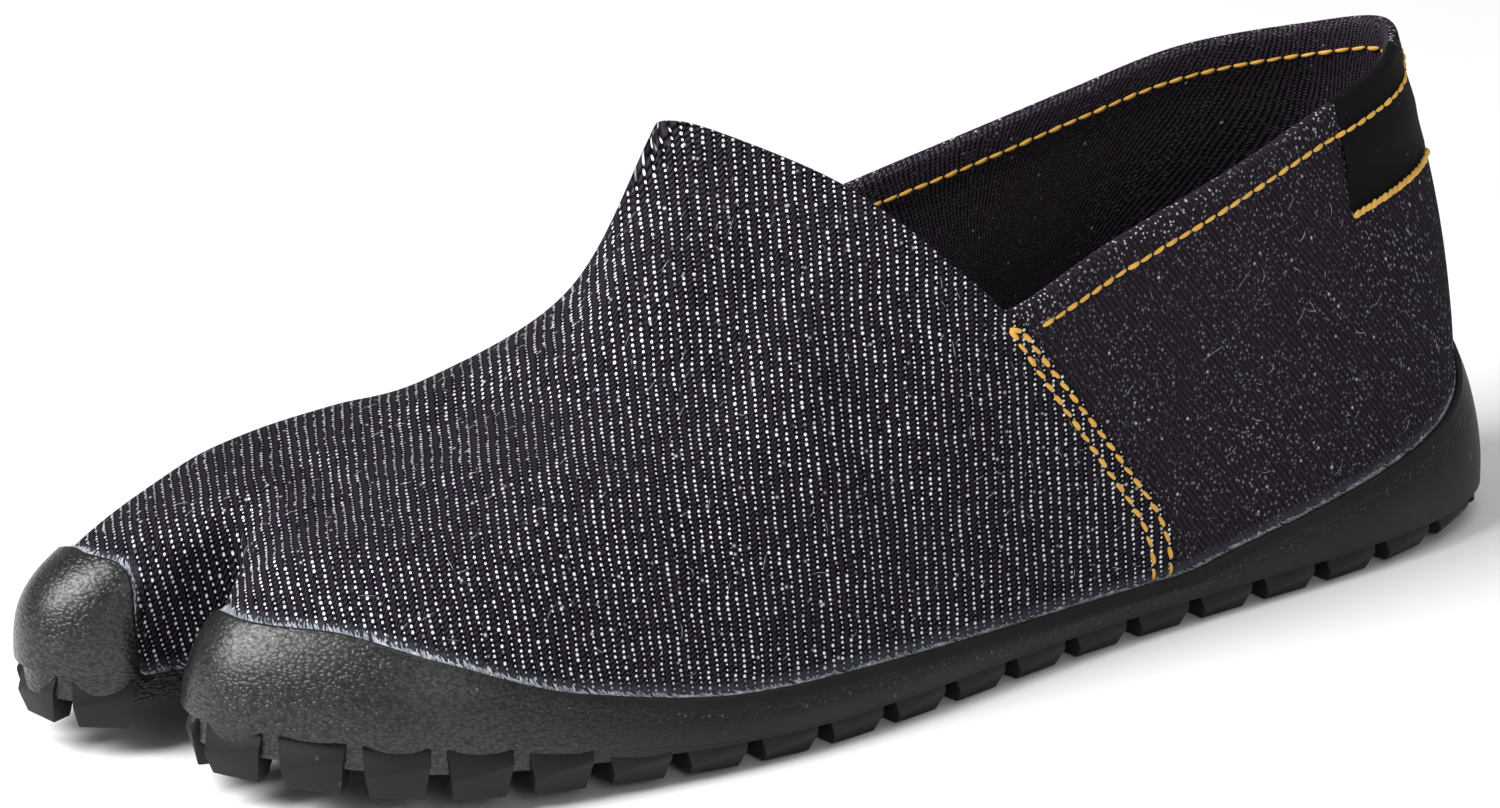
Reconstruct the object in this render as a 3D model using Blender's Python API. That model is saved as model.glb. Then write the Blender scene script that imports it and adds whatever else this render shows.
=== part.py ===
"""Left split-toe canvas shoe: moulded rubber cup sole, hollow denim upper, footbed and heel ribbon.

Toe points to +X, the outer side of the foot to +Y, up is +Z. Sizes are in millimetres
measured from the back of the heel and are scaled to metres when the meshes are made.
"""
import math

import bmesh
import bpy
import numpy as np
from mathutils import Vector
from mathutils.geometry import delaunay_2d_cdt

MM = 0.001

# Sole: lug height, slab above the lugs, rubber wall and the clearance between pieces.
LUG_HEIGHT = 4.4
SLAB = 2.0
BED = LUG_HEIGHT + SLAB
CUP_WALL = 2.3
CUP_EDGE = 1.3
SPLIT_RIM = 1.9
CAP_RUN_IN = -1.6
CLEARANCE = 0.3
TOE_SPRING = 6.5
SPRING_START = 147.0
SPRING_TWIST = 0.003
SPRING_POWER = 1.5
TOE_TIP = 257.0
HEEL_SPRING = 3.4
HEEL_SPRING_END = 42.0
HEEL_BACK = -7.0
ARCH_RISE = 1.2
ARCH_X = 96.0
ARCH_SPREAD = 28.0
ARCH_LINE = 45.0
ARCH_WIDTH = 60.0

# Lugs of the tread.
LUG_PITCH = 13.66
LUG_FIRST = 5.5
LUG_TOP = 11.4
LUG_FOOT = 9.0
LUG_DEPTH = 12.5
TOE_LUG_DEPTH = 8.0
LUG_SETBACK = 0.5
LUG_FLARE = 0.5
LUG_ROOT = 1.0
CENTRE_LUG = (9.0, 8.0)
CENTRE_PITCH = (13.7, 12.4)
CENTRE_MARGIN = 17.5

# Upper: denim wall, folded hem at the collar, step where the vamp lies over the quarters.
DENIM = 1.7
HEM = 0.45
HEM_DEPTH = 9.0
HEM_RUN = 0.4
LAP_STEP = 0.8
RELAX_FROM = 0.2
RELAX_RUN = 0.4
RELAX_WIDTH = 5.0
RELAX_GAIN = 1.6
BRIDGE_FROM = 0.34
BRIDGE_RUN = 0.24
LAP_RUN = 0.6
LAP_FADE = 60.0
LAP_CLEAR = 2.5

INSOLE_THICK = 3.0

# Ribbon at the heel.
RIBBON = 0.8
RIBBON_DROP = 19.5
RIBBON_INSIDE = 4.0
RIBBON_FROM = 14.0
RIBBON_TO = 51.0
RIBBON_RINGS = 4

RING_STEP = 6.0
OUTER_RINGS = 9
INNER_RINGS = 9
RING_CROWD = 1.4
CUP_RINGS = 4
FILL_STEP = 13.0
FILL_MARGIN = 6.0
CURVE_POINTS = 48
OUTLINE_POINTS = 4000
TANGENT_STEP = 0.05
SMOOTH_ANGLE = math.radians(40.0)

# Outline of the rubber seen from above, from the heel along the outer side, round both toes and
# back along the inner side. flare: extra thickness of the rubber. edge: height of its top edge
# above the floor. top: station of the collar line that this section of the upper runs up to.
OUTLINE_COLUMNS = ("name", "x", "y", "flare", "edge", "top")
OUTLINE = (
    ("heel_back", HEEL_BACK, 0.0, 3.0, 28.0, 0.0),
    ("heel_outer", 0.5, 19.0, 3.0, 21.5, 1.0),
    ("heel_side_outer", 28.0, 30.6, 1.2, 15.2, 1.9),
    ("seat_outer", 58.0, 33.4, 0.0, 10.6, 3.0),
    ("seam_outer", 79.0, 35.0, 0.0, 7.9, 5.0),
    ("waist_outer", 98.0, 37.3, 0.0, 8.7, 5.7),
    ("ball_rear_outer", 137.0, 43.8, 0.0, 10.4, 7.0),
    ("ball_outer", 166.0, 45.8, 0.0, 11.8, 8.0),
    ("toe5", 196.0, 43.0, 0.0, 17.0, 8.7),
    ("toe4", 222.0, 36.5, 0.0, 25.0, 9.2),
    ("toe3", 238.8, 21.8, 0.0, 29.0, 9.5),
    ("toe2", 246.0, 8.2, 0.0, 29.0, 9.7),
    ("toe2_inner", 243.2, -0.6, 0.0, 27.0, 9.78),
    ("cap_end_outer", 238.8, -4.4, 0.0, 23.0, 9.84),
    ("split_outer", 233.6, -6.3, 0.0, 15.0, 9.9),
    ("crotch", 229.0, -8.7, 0.0, 13.5, 9.95),
    ("split_inner", 235.2, -11.2, 0.0, 15.0, 10.0),
    ("toe1_outer", 244.5, -11.6, 0.0, 28.0, 10.1),
    ("toe1_front_outer", 253.5, -17.0, 0.0, 32.5, 10.2),
    ("toe1", TOE_TIP, -25.5, 0.0, 29.5, 10.35),
    ("toe1_front_inner", 252.0, -35.5, 0.0, 28.5, 10.6),
    ("toe1_side", 238.0, -42.8, 0.0, 24.0, 10.9),
    ("ball_front_inner", 214.0, -47.0, 0.0, 17.0, 11.4),
    ("ball_inner", 187.0, -46.0, 0.0, 13.0, 12.0),
    ("waist_front_inner", 150.0, -38.5, 0.0, 11.0, 13.2),
    ("waist_inner", 112.0, -32.8, 0.0, 9.4, 14.3),
    ("seam_inner", 79.0, -32.0, 0.0, 9.0, 15.0),
    ("seat_inner", 58.0, -31.8, 0.0, 11.0, 17.0),
    ("heel_side_inner", 28.0, -29.4, 1.2, 15.2, 18.1),
    ("heel_inner", 0.5, -18.5, 3.0, 21.5, 19.0),
)

# Edge of the opening: collar from the back to the outer corner, throat over the instep and back.
TOPLINE_COLUMNS = ("name", "x", "y", "z")
TOPLINE = (
    ("back", 8.0, 0.0, 83.8),
    ("back_outer", 16.5, 11.8, 81.2),
    ("collar_a_outer", 35.5, 20.2, 78.5),
    ("collar_b_outer", 56.0, 24.2, 73.3),
    ("collar_c_outer", 84.0, 27.7, 66.6),
    ("corner_outer", 107.0, 31.8, 60.8),
    ("throat_a_outer", 113.6, 29.4, 66.8),
    ("throat_b_outer", 122.0, 24.6, 75.6),
    ("throat_c_outer", 130.0, 17.8, 82.7),
    ("throat_d_outer", 139.0, 9.5, 87.9),
    ("peak", 148.9, -0.4, 92.3),
    ("throat_d_inner", 149.4, -7.2, 90.4),
    ("throat_c_inner", 139.0, -15.0, 83.0),
    ("throat_b_inner", 127.0, -22.5, 74.0),
    ("throat_a_inner", 114.5, -29.2, 65.6),
    ("corner_inner", 107.0, -31.8, 60.8),
    ("collar_c_inner", 84.0, -27.7, 66.6),
    ("collar_b_inner", 56.0, -24.2, 73.3),
    ("collar_a_inner", 35.5, -20.2, 78.5),
    ("back_inner", 16.5, -11.8, 81.2),
)

# Side shape of the upper at each section: q is the part of the way from the rubber to the edge of
# the opening seen from above, z the height above the floor there.
PROFILE_COLUMNS = ("name", "q1", "z1", "q2", "z2", "q3", "z3", "q4", "z4")
PROFILES = (
    ("heel_back", -0.09, 24.0, 0.02, 40.0, 0.21, 54.0, 0.54, 68.0),
    ("heel_outer", -0.06, 24.0, 0.06, 40.0, 0.28, 54.0, 0.60, 68.0),
    ("heel_side_outer", -0.02, 22.0, 0.14, 38.0, 0.42, 54.0, 0.71, 67.0),
    ("seat_outer", 0.00, 20.0, 0.22, 36.0, 0.52, 51.0, 0.78, 63.0),
    ("seam_outer", 0.06, 18.0, 0.32, 31.0, 0.58, 42.5, 0.80, 52.0),
    ("waist_outer", 0.08, 18.0, 0.34, 33.5, 0.60, 47.0, 0.81, 57.0),
    ("ball_rear_outer", 0.07, 18.0, 0.34, 40.0, 0.60, 54.5, 0.82, 66.0),
    ("ball_outer", 0.05, 18.0, 0.30, 40.0, 0.58, 57.0, 0.82, 71.0),
    ("toe5", 0.04, 20.0, 0.24, 38.0, 0.56, 53.0, 0.83, 71.5),
    ("toe4", 0.03, 22.0, 0.18, 37.5, 0.54, 51.0, 0.83, 73.0),
    ("toe2", 0.02, 24.0, 0.14, 36.5, 0.58, 50.8, 0.83, 69.4),
    ("toe2_inner", 0.02, 22.0, 0.13, 34.8, 0.57, 50.8, 0.82, 67.4),
    ("crotch", 0.012, 22.0, 0.045, 33.8, 0.19, 43.5, 0.72, 66.5),
    ("toe1_outer", 0.02, 23.0, 0.14, 36.2, 0.58, 50.2, 0.82, 64.4),
    ("toe1", 0.01, 24.0, 0.14, 35.8, 0.57, 49.8, 0.83, 63.6),
    ("toe1_side", 0.03, 23.0, 0.20, 38.4, 0.57, 48.6, 0.83, 60.9),
    ("ball_front_inner", 0.04, 20.0, 0.24, 38.0, 0.585, 49.0, 0.83, 62.2),
    ("ball_inner", 0.05, 19.0, 0.28, 38.2, 0.59, 50.4, 0.82, 64.8),
    ("waist_front_inner", 0.08, 18.0, 0.34, 38.0, 0.60, 51.5, 0.82, 62.0),
    ("waist_inner", 0.10, 18.0, 0.34, 33.0, 0.60, 46.0, 0.81, 55.0),
    ("seam_inner", 0.08, 18.0, 0.32, 31.0, 0.58, 42.5, 0.80, 52.0),
    ("seat_inner", 0.02, 20.0, 0.22, 36.0, 0.52, 51.0, 0.78, 63.0),
    ("heel_side_inner", -0.02, 22.0, 0.14, 38.0, 0.42, 54.0, 0.71, 67.0),
    ("heel_inner", -0.06, 24.0, 0.06, 40.0, 0.28, 54.0, 0.60, 68.0),
)

COLOURS = {
    "sole": ((0.022, 0.021, 0.021), 0.55),
    "upper": ((0.030, 0.033, 0.045), 0.90),
    "insole": ((0.035, 0.034, 0.036), 0.85),
    "heel_tab": ((0.012, 0.012, 0.013), 0.70),
}


def column(rows, names, wanted):
    """Read one named column of a table."""
    place = names.index(wanted)
    return np.array([row[place] for row in rows], dtype=float)


def closed_spline(knots, values, period, where):
    """Smooth closed curve through the values, second derivatives continuous."""
    count = len(knots)
    step = np.diff(np.append(knots, knots[0] + period))
    rise = np.roll(values, -1) - values
    matrix = np.zeros((count, count))
    right = np.zeros(count)
    for i in range(count):
        before = step[i - 1]
        after = step[i]
        matrix[i, i - 1] += before
        matrix[i, i] += 2.0 * (before + after)
        matrix[i, (i + 1) % count] += after
        right[i] = 6.0 * (rise[i] / after - rise[i - 1] / before)
    bend = np.linalg.solve(matrix, right)
    place = np.mod(where - knots[0], period) + knots[0]
    low = np.clip(np.searchsorted(knots, place, side="right") - 1, 0, count - 1)
    high = (low + 1) % count
    width = step[low]
    b = (place - knots[low]) / width
    a = 1.0 - b
    curve = a * values[low] + b * values[high]
    return curve + ((a**3 - a) * bend[low] + (b**3 - b) * bend[high]) * width**2 / 6.0


def closed_ease(knots, values, period, where):
    """Closed curve through the values that never swings past its neighbours."""
    count = len(knots)
    step = np.diff(np.append(knots, knots[0] + period))
    slope = (np.roll(values, -1) - values) / step
    back = np.roll(slope, 1)
    same = slope * back > 0.0
    safe = np.where(same, slope + back, 1.0)
    tangent = np.where(same, 2.0 * slope * back / safe, 0.0)
    place = np.mod(where - knots[0], period) + knots[0]
    low = np.clip(np.searchsorted(knots, place, side="right") - 1, 0, count - 1)
    high = (low + 1) % count
    width = step[low]
    b = (place - knots[low]) / width
    hermite = (2.0 * b**3 - 3.0 * b**2 + 1.0) * values[low] + (b**3 - 2.0 * b**2 + b) * width * tangent[low]
    return hermite + (3.0 * b**2 - 2.0 * b**3) * values[high] + (b**3 - b**2) * width * tangent[high]


def spring(x, y):
    """How far the sole has lifted off the floor towards the toe, a little more on the outer side."""
    share = (np.asarray(x, dtype=float) - SPRING_START) / (TOE_TIP - SPRING_START)
    twist = 1.0 + SPRING_TWIST * np.asarray(y, dtype=float)
    return np.clip(share, 0.0, None) ** SPRING_POWER * TOE_SPRING * twist


def tread_height(x, y):
    """Height of the lugs' feet: toe spring, worn-back heel and the arch on the inner side."""
    x = np.asarray(x, dtype=float)
    heel = np.clip((HEEL_SPRING_END - x) / (HEEL_SPRING_END - HEEL_BACK), 0.0, None) ** 2 * HEEL_SPRING
    inner = np.clip((ARCH_LINE - np.asarray(y, dtype=float)) / ARCH_WIDTH, 0.0, 1.0)
    along = np.clip((x - ARCH_X) / ARCH_SPREAD, -1.0, 1.0)
    arch = ARCH_RISE * inner * np.cos(along * math.pi * 0.5) ** 2
    return spring(x, y) + heel + arch


class Last:
    """The shape that upper, sole and footbed share, worked out from the three tables."""

    def __init__(self):
        self.names = [row[0] for row in OUTLINE]
        x = column(OUTLINE, OUTLINE_COLUMNS, "x")
        y = column(OUTLINE, OUTLINE_COLUMNS, "y")
        gaps = np.hypot(np.roll(x, -1) - x, np.roll(y, -1) - y)
        self.knots = np.concatenate(([0.0], np.cumsum(gaps)[:-1]))
        self.period = float(gaps.sum())
        self.x = x
        self.y = y

    def station(self, name):
        """Distance along the outline at which a named section lies."""
        return float(self.knots[self.names.index(name)])

    def outline(self, where):
        """Point and inward direction of the rubber's outline."""
        px = closed_spline(self.knots, self.x, self.period, where)
        py = closed_spline(self.knots, self.y, self.period, where)
        dx = closed_spline(self.knots, self.x, self.period, where + TANGENT_STEP) - px
        dy = closed_spline(self.knots, self.y, self.period, where + TANGENT_STEP) - py
        size = np.hypot(dx, dy)
        return np.stack([px, py], 1), np.stack([dy, -dx], 1) / size[:, None]

    def flare(self, where):
        """Extra thickness of the rubber."""
        return closed_ease(self.knots, column(OUTLINE, OUTLINE_COLUMNS, "flare"), self.period, where)

    def edge(self, where):
        """Height of the rubber's top edge, which drops to a low rim between the toe caps."""
        height = closed_ease(self.knots, column(OUTLINE, OUTLINE_COLUMNS, "edge"), self.period, where)
        point, _ = self.outline(where)
        rim = spring(point[:, 0], point[:, 1]) + BED + SPLIT_RIM
        first, second = self.cap_ends()
        return np.where((where > first) & (where < second), rim, height)

    def cap_ends(self):
        """Stations at which the two toe caps end inside the split."""
        return self.station("cap_end_outer"), self.station("toe1_outer") - CAP_RUN_IN

    def topline(self, where):
        """Point on the edge of the opening that a section runs up to."""
        tops = column(OUTLINE, OUTLINE_COLUMNS, "top")
        count = len(TOPLINE)
        turned = np.mod(where, self.period)
        wrapped_knots = np.append(self.knots, self.period)
        wrapped_tops = np.append(tops, count)
        slope = np.diff(wrapped_tops) / np.diff(wrapped_knots)
        joined = np.concatenate(([slope[-1]], slope, [slope[0]]))
        tangent = 2.0 * joined[:-1] * joined[1:] / (joined[:-1] + joined[1:])
        low = np.clip(np.searchsorted(wrapped_knots, turned, side="right") - 1, 0, len(tops) - 1)
        width = np.diff(wrapped_knots)[low]
        b = (turned - wrapped_knots[low]) / width
        place = (2 * b**3 - 3 * b**2 + 1) * wrapped_tops[low]
        place = place + (b**3 - 2 * b**2 + b) * width * tangent[low]
        place = place + (3 * b**2 - 2 * b**3) * wrapped_tops[low + 1]
        place = place + (b**3 - b**2) * width * tangent[low + 1]
        index = np.arange(count, dtype=float)
        axes = []
        for axis in "xyz":
            values = column(TOPLINE, TOPLINE_COLUMNS, axis)
            axes.append(closed_ease(index, values, float(count), place))
        return np.stack(axes, 1)

    def sections(self, where):
        """Curves of the upper's outer face from the bed to the edge of the opening."""
        return self.relax(where, self.bridge(where, self.guided(where)))

    def bridge(self, where, curves):
        """Let the split's sections run straight across from toe to toe above the valley."""
        ends = np.array([self.station("toe2_inner"), self.station("toe1_outer")])
        sides = self.guided(ends)
        share = np.clip((where - ends[0]) / (ends[1] - ends[0]), 0.0, 1.0)[:, None, None]
        across = sides[0] * (1.0 - share) + sides[1] * share
        up = np.clip((np.linspace(0.0, 1.0, curves.shape[1]) - BRIDGE_FROM) / BRIDGE_RUN, 0.0, 1.0)
        split = (where > ends[0]) & (where < ends[1])
        mix = (up * up * (3.0 - 2.0 * up))[None, :, None] * split[:, None, None]
        return curves * (1.0 - mix) + across * mix

    def guided(self, where):
        """Curves through the points of the tables."""
        point, inward = self.outline(where)
        base = point + inward * (CUP_WALL + CLEARANCE + self.flare(where))[:, None]
        bed = spring(base[:, 0], base[:, 1]) + BED + CLEARANCE
        top = self.topline(where)
        knots = np.array([self.station(row[0]) for row in PROFILES])
        q = [np.zeros(len(where))]
        z = [bed]
        for number in "1234":
            q.append(closed_ease(knots, column(PROFILES, PROFILE_COLUMNS, "q" + number), self.period, where))
            z.append(closed_ease(knots, column(PROFILES, PROFILE_COLUMNS, "z" + number), self.period, where))
        q.append(np.ones(len(where)))
        z.append(top[:, 2])
        run = np.linalg.norm(top[:, :2] - base, axis=1)
        flat = np.stack(q, 1) * run[:, None]
        high = np.stack(z, 1)
        guide = np.stack([flat, high], 2)
        first = guide[:, 0] - np.stack([np.zeros(len(where)), high[:, 1] - high[:, 0]], 1)
        last = 2.0 * guide[:, -1] - guide[:, -2]
        guide = np.concatenate([first[:, None], guide, last[:, None]], 1)
        curve = thread(guide, CURVE_POINTS)
        share = curve[:, :, 0] / run[:, None]
        plan = base[:, None, :] + (top[:, :2] - base)[:, None, :] * share[:, :, None]
        return np.concatenate([plan, curve[:, :, 1:2]], 2)

    def relax(self, where, curves):
        """Even out the crowded sections over the toes so that they make one soft dome."""
        count = curves.shape[1]
        mid = 0.5 * (self.station("toe3") + self.station("toe1_side"))
        reach = self.station("ball_inner") - mid
        near = np.clip(RELAX_GAIN * (1.0 - np.abs(where - mid) / reach), 0.0, 1.0)
        out = curves.copy()
        for j in range(count):
            up = np.clip((j / (count - 1.0) - RELAX_FROM) / RELAX_RUN, 0.0, 1.0)
            ring = curves[:, j]
            gap = np.linalg.norm(np.roll(ring, -1, 0) - ring, axis=1)
            along = np.concatenate(([0.0], np.cumsum(gap)[:-1]))
            apart = np.abs(along[:, None] - along[None, :])
            apart = np.minimum(apart, gap.sum() - apart)
            weight = np.exp(-0.5 * (apart / RELAX_WIDTH) ** 2) * (gap + np.roll(gap, 1))[None, :]
            soft = weight @ ring / weight.sum(1, keepdims=True)
            mix = (near * up * up * (3.0 - 2.0 * up))[:, None]
            out[:, j] = ring * (1.0 - mix) + soft * mix
        return out


def thread(guide, fine):
    """Centripetal curve through the inner points of each guide row."""
    rows, count, _ = guide.shape
    gap = np.linalg.norm(np.diff(guide, axis=1), axis=2) ** 0.5
    time = np.concatenate([np.zeros((rows, 1)), np.cumsum(np.maximum(gap, 1e-6), 1)], 1)
    pieces = []
    for i in range(1, count - 2):
        t = time[:, i - 1 : i + 3]
        p = guide[:, i - 1 : i + 3]
        share = np.linspace(0.0, 1.0, fine // (count - 3) + 1)
        if i < count - 3:
            share = share[:-1]
        at = t[:, 1:2] + (t[:, 2:3] - t[:, 1:2]) * share

        def blend(a, b, ta, tb):
            mix = ((at - ta) / (tb - ta))[:, :, None]
            return a * (1.0 - mix) + b * mix

        a1 = blend(p[:, 0:1], p[:, 1:2], t[:, 0:1], t[:, 1:2])
        a2 = blend(p[:, 1:2], p[:, 2:3], t[:, 1:2], t[:, 2:3])
        a3 = blend(p[:, 2:3], p[:, 3:4], t[:, 2:3], t[:, 3:4])
        b1 = blend(a1, a2, t[:, 0:1], t[:, 2:3])
        b2 = blend(a2, a3, t[:, 1:2], t[:, 3:4])
        pieces.append(blend(b1, b2, t[:, 1:2], t[:, 2:3]))
    return np.concatenate(pieces, 1)


def lengths(curves):
    """Distance along each curve."""
    step = np.linalg.norm(np.diff(curves, axis=1), axis=2)
    return np.concatenate([np.zeros((len(curves), 1)), np.cumsum(step, 1)], 1)


def pick(curves, along, wanted):
    """Points of each curve at the wanted distances."""
    out = np.zeros((len(curves), wanted.shape[1], 3))
    for i in range(len(curves)):
        for axis in range(3):
            out[i, :, axis] = np.interp(wanted[i], along[i], curves[i, :, axis])
    return out


def normals(grid):
    """Outward directions of a grid of points that is closed along its rows."""
    ahead = np.roll(grid, -1, 0) - grid
    behind = np.roll(ahead, 1, 0)
    ratio = np.linalg.norm(behind, axis=2, keepdims=True) / np.linalg.norm(ahead, axis=2, keepdims=True)
    up = np.gradient(grid, axis=1)
    face = np.cross(up, ahead * ratio + behind / ratio)
    return face / np.linalg.norm(face, axis=2, keepdims=True)


def stations(last):
    """Sections of the upper: even steps, with close pairs at the side seams and cap ends."""
    steps = [last.station("seam_outer"), last.station("seam_inner"), *last.cap_ends()]
    close = [step + side * LAP_RUN * 0.5 for step in steps for side in (-1.0, 1.0)]
    close += [RIBBON_FROM, RIBBON_TO]
    count = int(round(last.period / RING_STEP))
    even = np.arange(count) * last.period / count
    keep = [s for s in even if min(abs(s - c) for c in close) > LAP_RUN * 2.0]
    return np.array(sorted(keep + close))


def in_vamp(last, where):
    """Whether a section lies in the front panel, between the side seams."""
    return (where > last.station("seam_outer")) & (where < last.station("seam_inner"))


class Upper:
    """Outer and inner faces of the denim."""

    def __init__(self, last):
        self.last = last
        self.where = stations(last)
        self.curves = last.sections(self.where)
        self.along = lengths(self.curves)
        self.outward = normals(self.curves)
        total = self.along[:, -1:]
        hem = total - HEM_DEPTH
        edge = last.edge(self.where)
        rise = [np.interp(e, c[:, 2], a) for e, c, a in zip(edge, self.curves, self.along)]
        self.cup_at = np.array(rise)[:, None] * np.linspace(0.0, 1.0, CUP_RINGS)[None, :]
        rest = np.linspace(0.0, 1.0, OUTER_RINGS)[None, 1:]
        body = self.cup_at[:, -1:] + (hem - HEM_RUN - self.cup_at[:, -1:]) * rest
        self.outer_at = np.concatenate([self.cup_at, body, hem, total - HEM_DEPTH * 0.5, total], 1)
        few = np.linspace(0.0, 1.0, INNER_RINGS) ** RING_CROWD
        self.inner_at = np.concatenate([few * (hem - HEM_RUN), hem, total], 1)
        self.vamp = in_vamp(last, self.where)

    def points(self, at):
        """Points and outward directions at distances along each section."""
        out = pick(self.outward, self.along, at)
        return pick(self.curves, self.along, at), out / np.linalg.norm(out, axis=2, keepdims=True)

    def thickening(self, at, points):
        """Raised step of the front panel and of the collar hem."""
        total = self.along[:, -1:]
        edge = self.last.edge(self.where)[:, None]
        above = np.clip((points[:, :, 2] - edge) / LAP_CLEAR, 0.0, 1.0)
        past_outer = self.where - self.last.station("seam_outer")
        ahead = np.minimum(past_outer, self.last.station("seam_inner") - self.where)
        fade = np.clip(1.0 - ahead / LAP_FADE, 0.0, 1.0)
        lap = np.where(self.vamp, LAP_STEP * fade, 0.0)[:, None] * above
        hem = np.where(~self.vamp[:, None] & (at > total - HEM_DEPTH - HEM_RUN * 0.5), HEM, 0.0)
        return lap + hem

    def face(self, at, inside):
        """Points of one face of the wall at distances along each section."""
        points, out = self.points(at)
        extra = self.thickening(at, points)
        if inside:
            hem = np.where(at > self.along[:, -1:] - HEM_DEPTH - HEM_RUN * 0.5, HEM, 0.0)
            return points - out * (DENIM + hem)[:, :, None]
        return points + out * extra[:, :, None]


def new_object(name, bm):
    """Turn a mesh under construction into a named object with its own material."""
    bmesh.ops.remove_doubles(bm, verts=bm.verts, dist=1e-6)
    bmesh.ops.recalc_face_normals(bm, faces=bm.faces)
    if bm.calc_volume(signed=True) < 0.0:
        bmesh.ops.reverse_faces(bm, faces=bm.faces)
    mesh = bpy.data.meshes.new(name)
    bm.to_mesh(mesh)
    bm.free()
    mesh.shade_smooth()
    mesh.set_sharp_from_angle(angle=SMOOTH_ANGLE)
    item = bpy.data.objects.new(name, mesh)
    bpy.context.scene.collection.objects.link(item)
    colour, rough = COLOURS[name]
    material = bpy.data.materials.new(name)
    material.use_nodes = True
    shader = material.node_tree.nodes["Principled BSDF"]
    shader.inputs["Base Color"].default_value = (*colour, 1.0)
    shader.inputs["Roughness"].default_value = rough
    shader.inputs["Metallic"].default_value = 0.0
    mesh.materials.append(material)
    return item


def skin(bm, rings, closed):
    """Join rings of points with triangles; closed joins the last ring back to the first.

    The diagonals always climb along the ring, so that faces which lie beside each other match.
    """
    made = [[bm.verts.new(Vector(p) * MM) for p in ring] for ring in rings]
    turns = len(made) if closed else len(made) - 1
    for i in range(turns):
        low = made[i]
        high = made[(i + 1) % len(made)]
        if np.mean(rings[i], 0)[2] > np.mean(rings[(i + 1) % len(rings)], 0)[2]:
            low, high = high, low
        for j in range(len(low)):
            k = (j + 1) % len(low)
            bm.faces.new((low[j], low[k], high[k]))
            bm.faces.new((low[j], high[k], high[j]))
    return made


def cover(bm, ring, loop, height):
    """Fill a ring of points with a sheet whose inner points lie at the height function."""
    lo = loop.min(0)
    hi = loop.max(0)
    inner = []
    for gx in np.arange(lo[0] + FILL_STEP * 0.5, hi[0], FILL_STEP):
        for gy in np.arange(lo[1] + FILL_STEP * 0.5, hi[1], FILL_STEP):
            if inside(loop, gx, gy) and np.hypot(loop[:, 0] - gx, loop[:, 1] - gy).min() > FILL_MARGIN:
                inner.append((gx, gy))
    count = len(loop)
    flat = [Vector((float(a), float(b))) for a, b in list(loop) + inner]
    edges = [(i, (i + 1) % count) for i in range(count)]
    verts, _, faces, origin, _, _ = delaunay_2d_cdt(flat, edges, [], 1, 1e-5)
    made = []
    for vert, source in zip(verts, origin):
        first = source[0]
        if first < count:
            made.append(ring[first])
        else:
            made.append(bm.verts.new(Vector((vert.x, vert.y, float(height(vert.x, vert.y)))) * MM))
    for face in faces:
        bm.faces.new([made[i] for i in face])


def inside(loop, x, y):
    """Whether a point lies inside a closed loop."""
    x0 = loop[:, 0]
    y0 = loop[:, 1]
    x1 = np.roll(x0, -1)
    y1 = np.roll(y0, -1)
    crosses = (y0 > y) != (y1 > y)
    span = np.where(crosses, y1 - y0, 1.0)
    return bool(np.count_nonzero(crosses & (x < (x1 - x0) * (y - y0) / span + x0)) % 2)


def build_upper(upper):
    """The hollow denim shell, open at the collar and underneath."""
    outer = upper.face(upper.outer_at, False)
    inner = upper.face(upper.inner_at, True)
    inner[:, 0, 2] = outer[:, 0, 2]
    inner[:, -1, 2] = outer[:, -1, 2]
    rings = [outer[:, j] for j in range(outer.shape[1])]
    rings += [inner[:, j] for j in range(inner.shape[1] - 1, -1, -1)]
    bm = bmesh.new()
    skin(bm, rings, True)
    return new_object("upper", bm)


def cup_rings(upper):
    """Rings of the rubber from the slab's lower edge over the rim to the bed inside."""
    points, out = upper.points(upper.cup_at)
    share = np.linspace(0.0, 1.0, CUP_RINGS)[None, :]
    flare = upper.last.flare(upper.where)[:, None]
    wall = (CUP_WALL + flare) * (1.0 - share**2) + CUP_EDGE * share**2
    outside = points + out * (CLEARANCE + wall)[:, :, None]
    inside_face = points + out * CLEARANCE
    foot = outside[:, 0].copy()
    foot[:, 2] = spring(foot[:, 0], foot[:, 1]) + LUG_HEIGHT
    bed = inside_face[:, 0].copy()
    bed[:, 2] = spring(bed[:, 0], bed[:, 1]) + BED
    rings = [foot] + [outside[:, j] for j in range(CUP_RINGS)]
    rings += [inside_face[:, j] for j in range(CUP_RINGS - 1, 0, -1)] + [bed]
    return rings


def add_lug(bm, top, bottom):
    """One tapered block from its upper and lower outlines."""
    high = [bm.verts.new(Vector(p) * MM) for p in top]
    low = [bm.verts.new(Vector(p) * MM) for p in bottom]
    count = len(high)
    bm.faces.new(high)
    bm.faces.new(list(reversed(low)))
    for i in range(count):
        k = (i + 1) % count
        bm.faces.new((high[k], high[i], low[i], low[k]))


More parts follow.
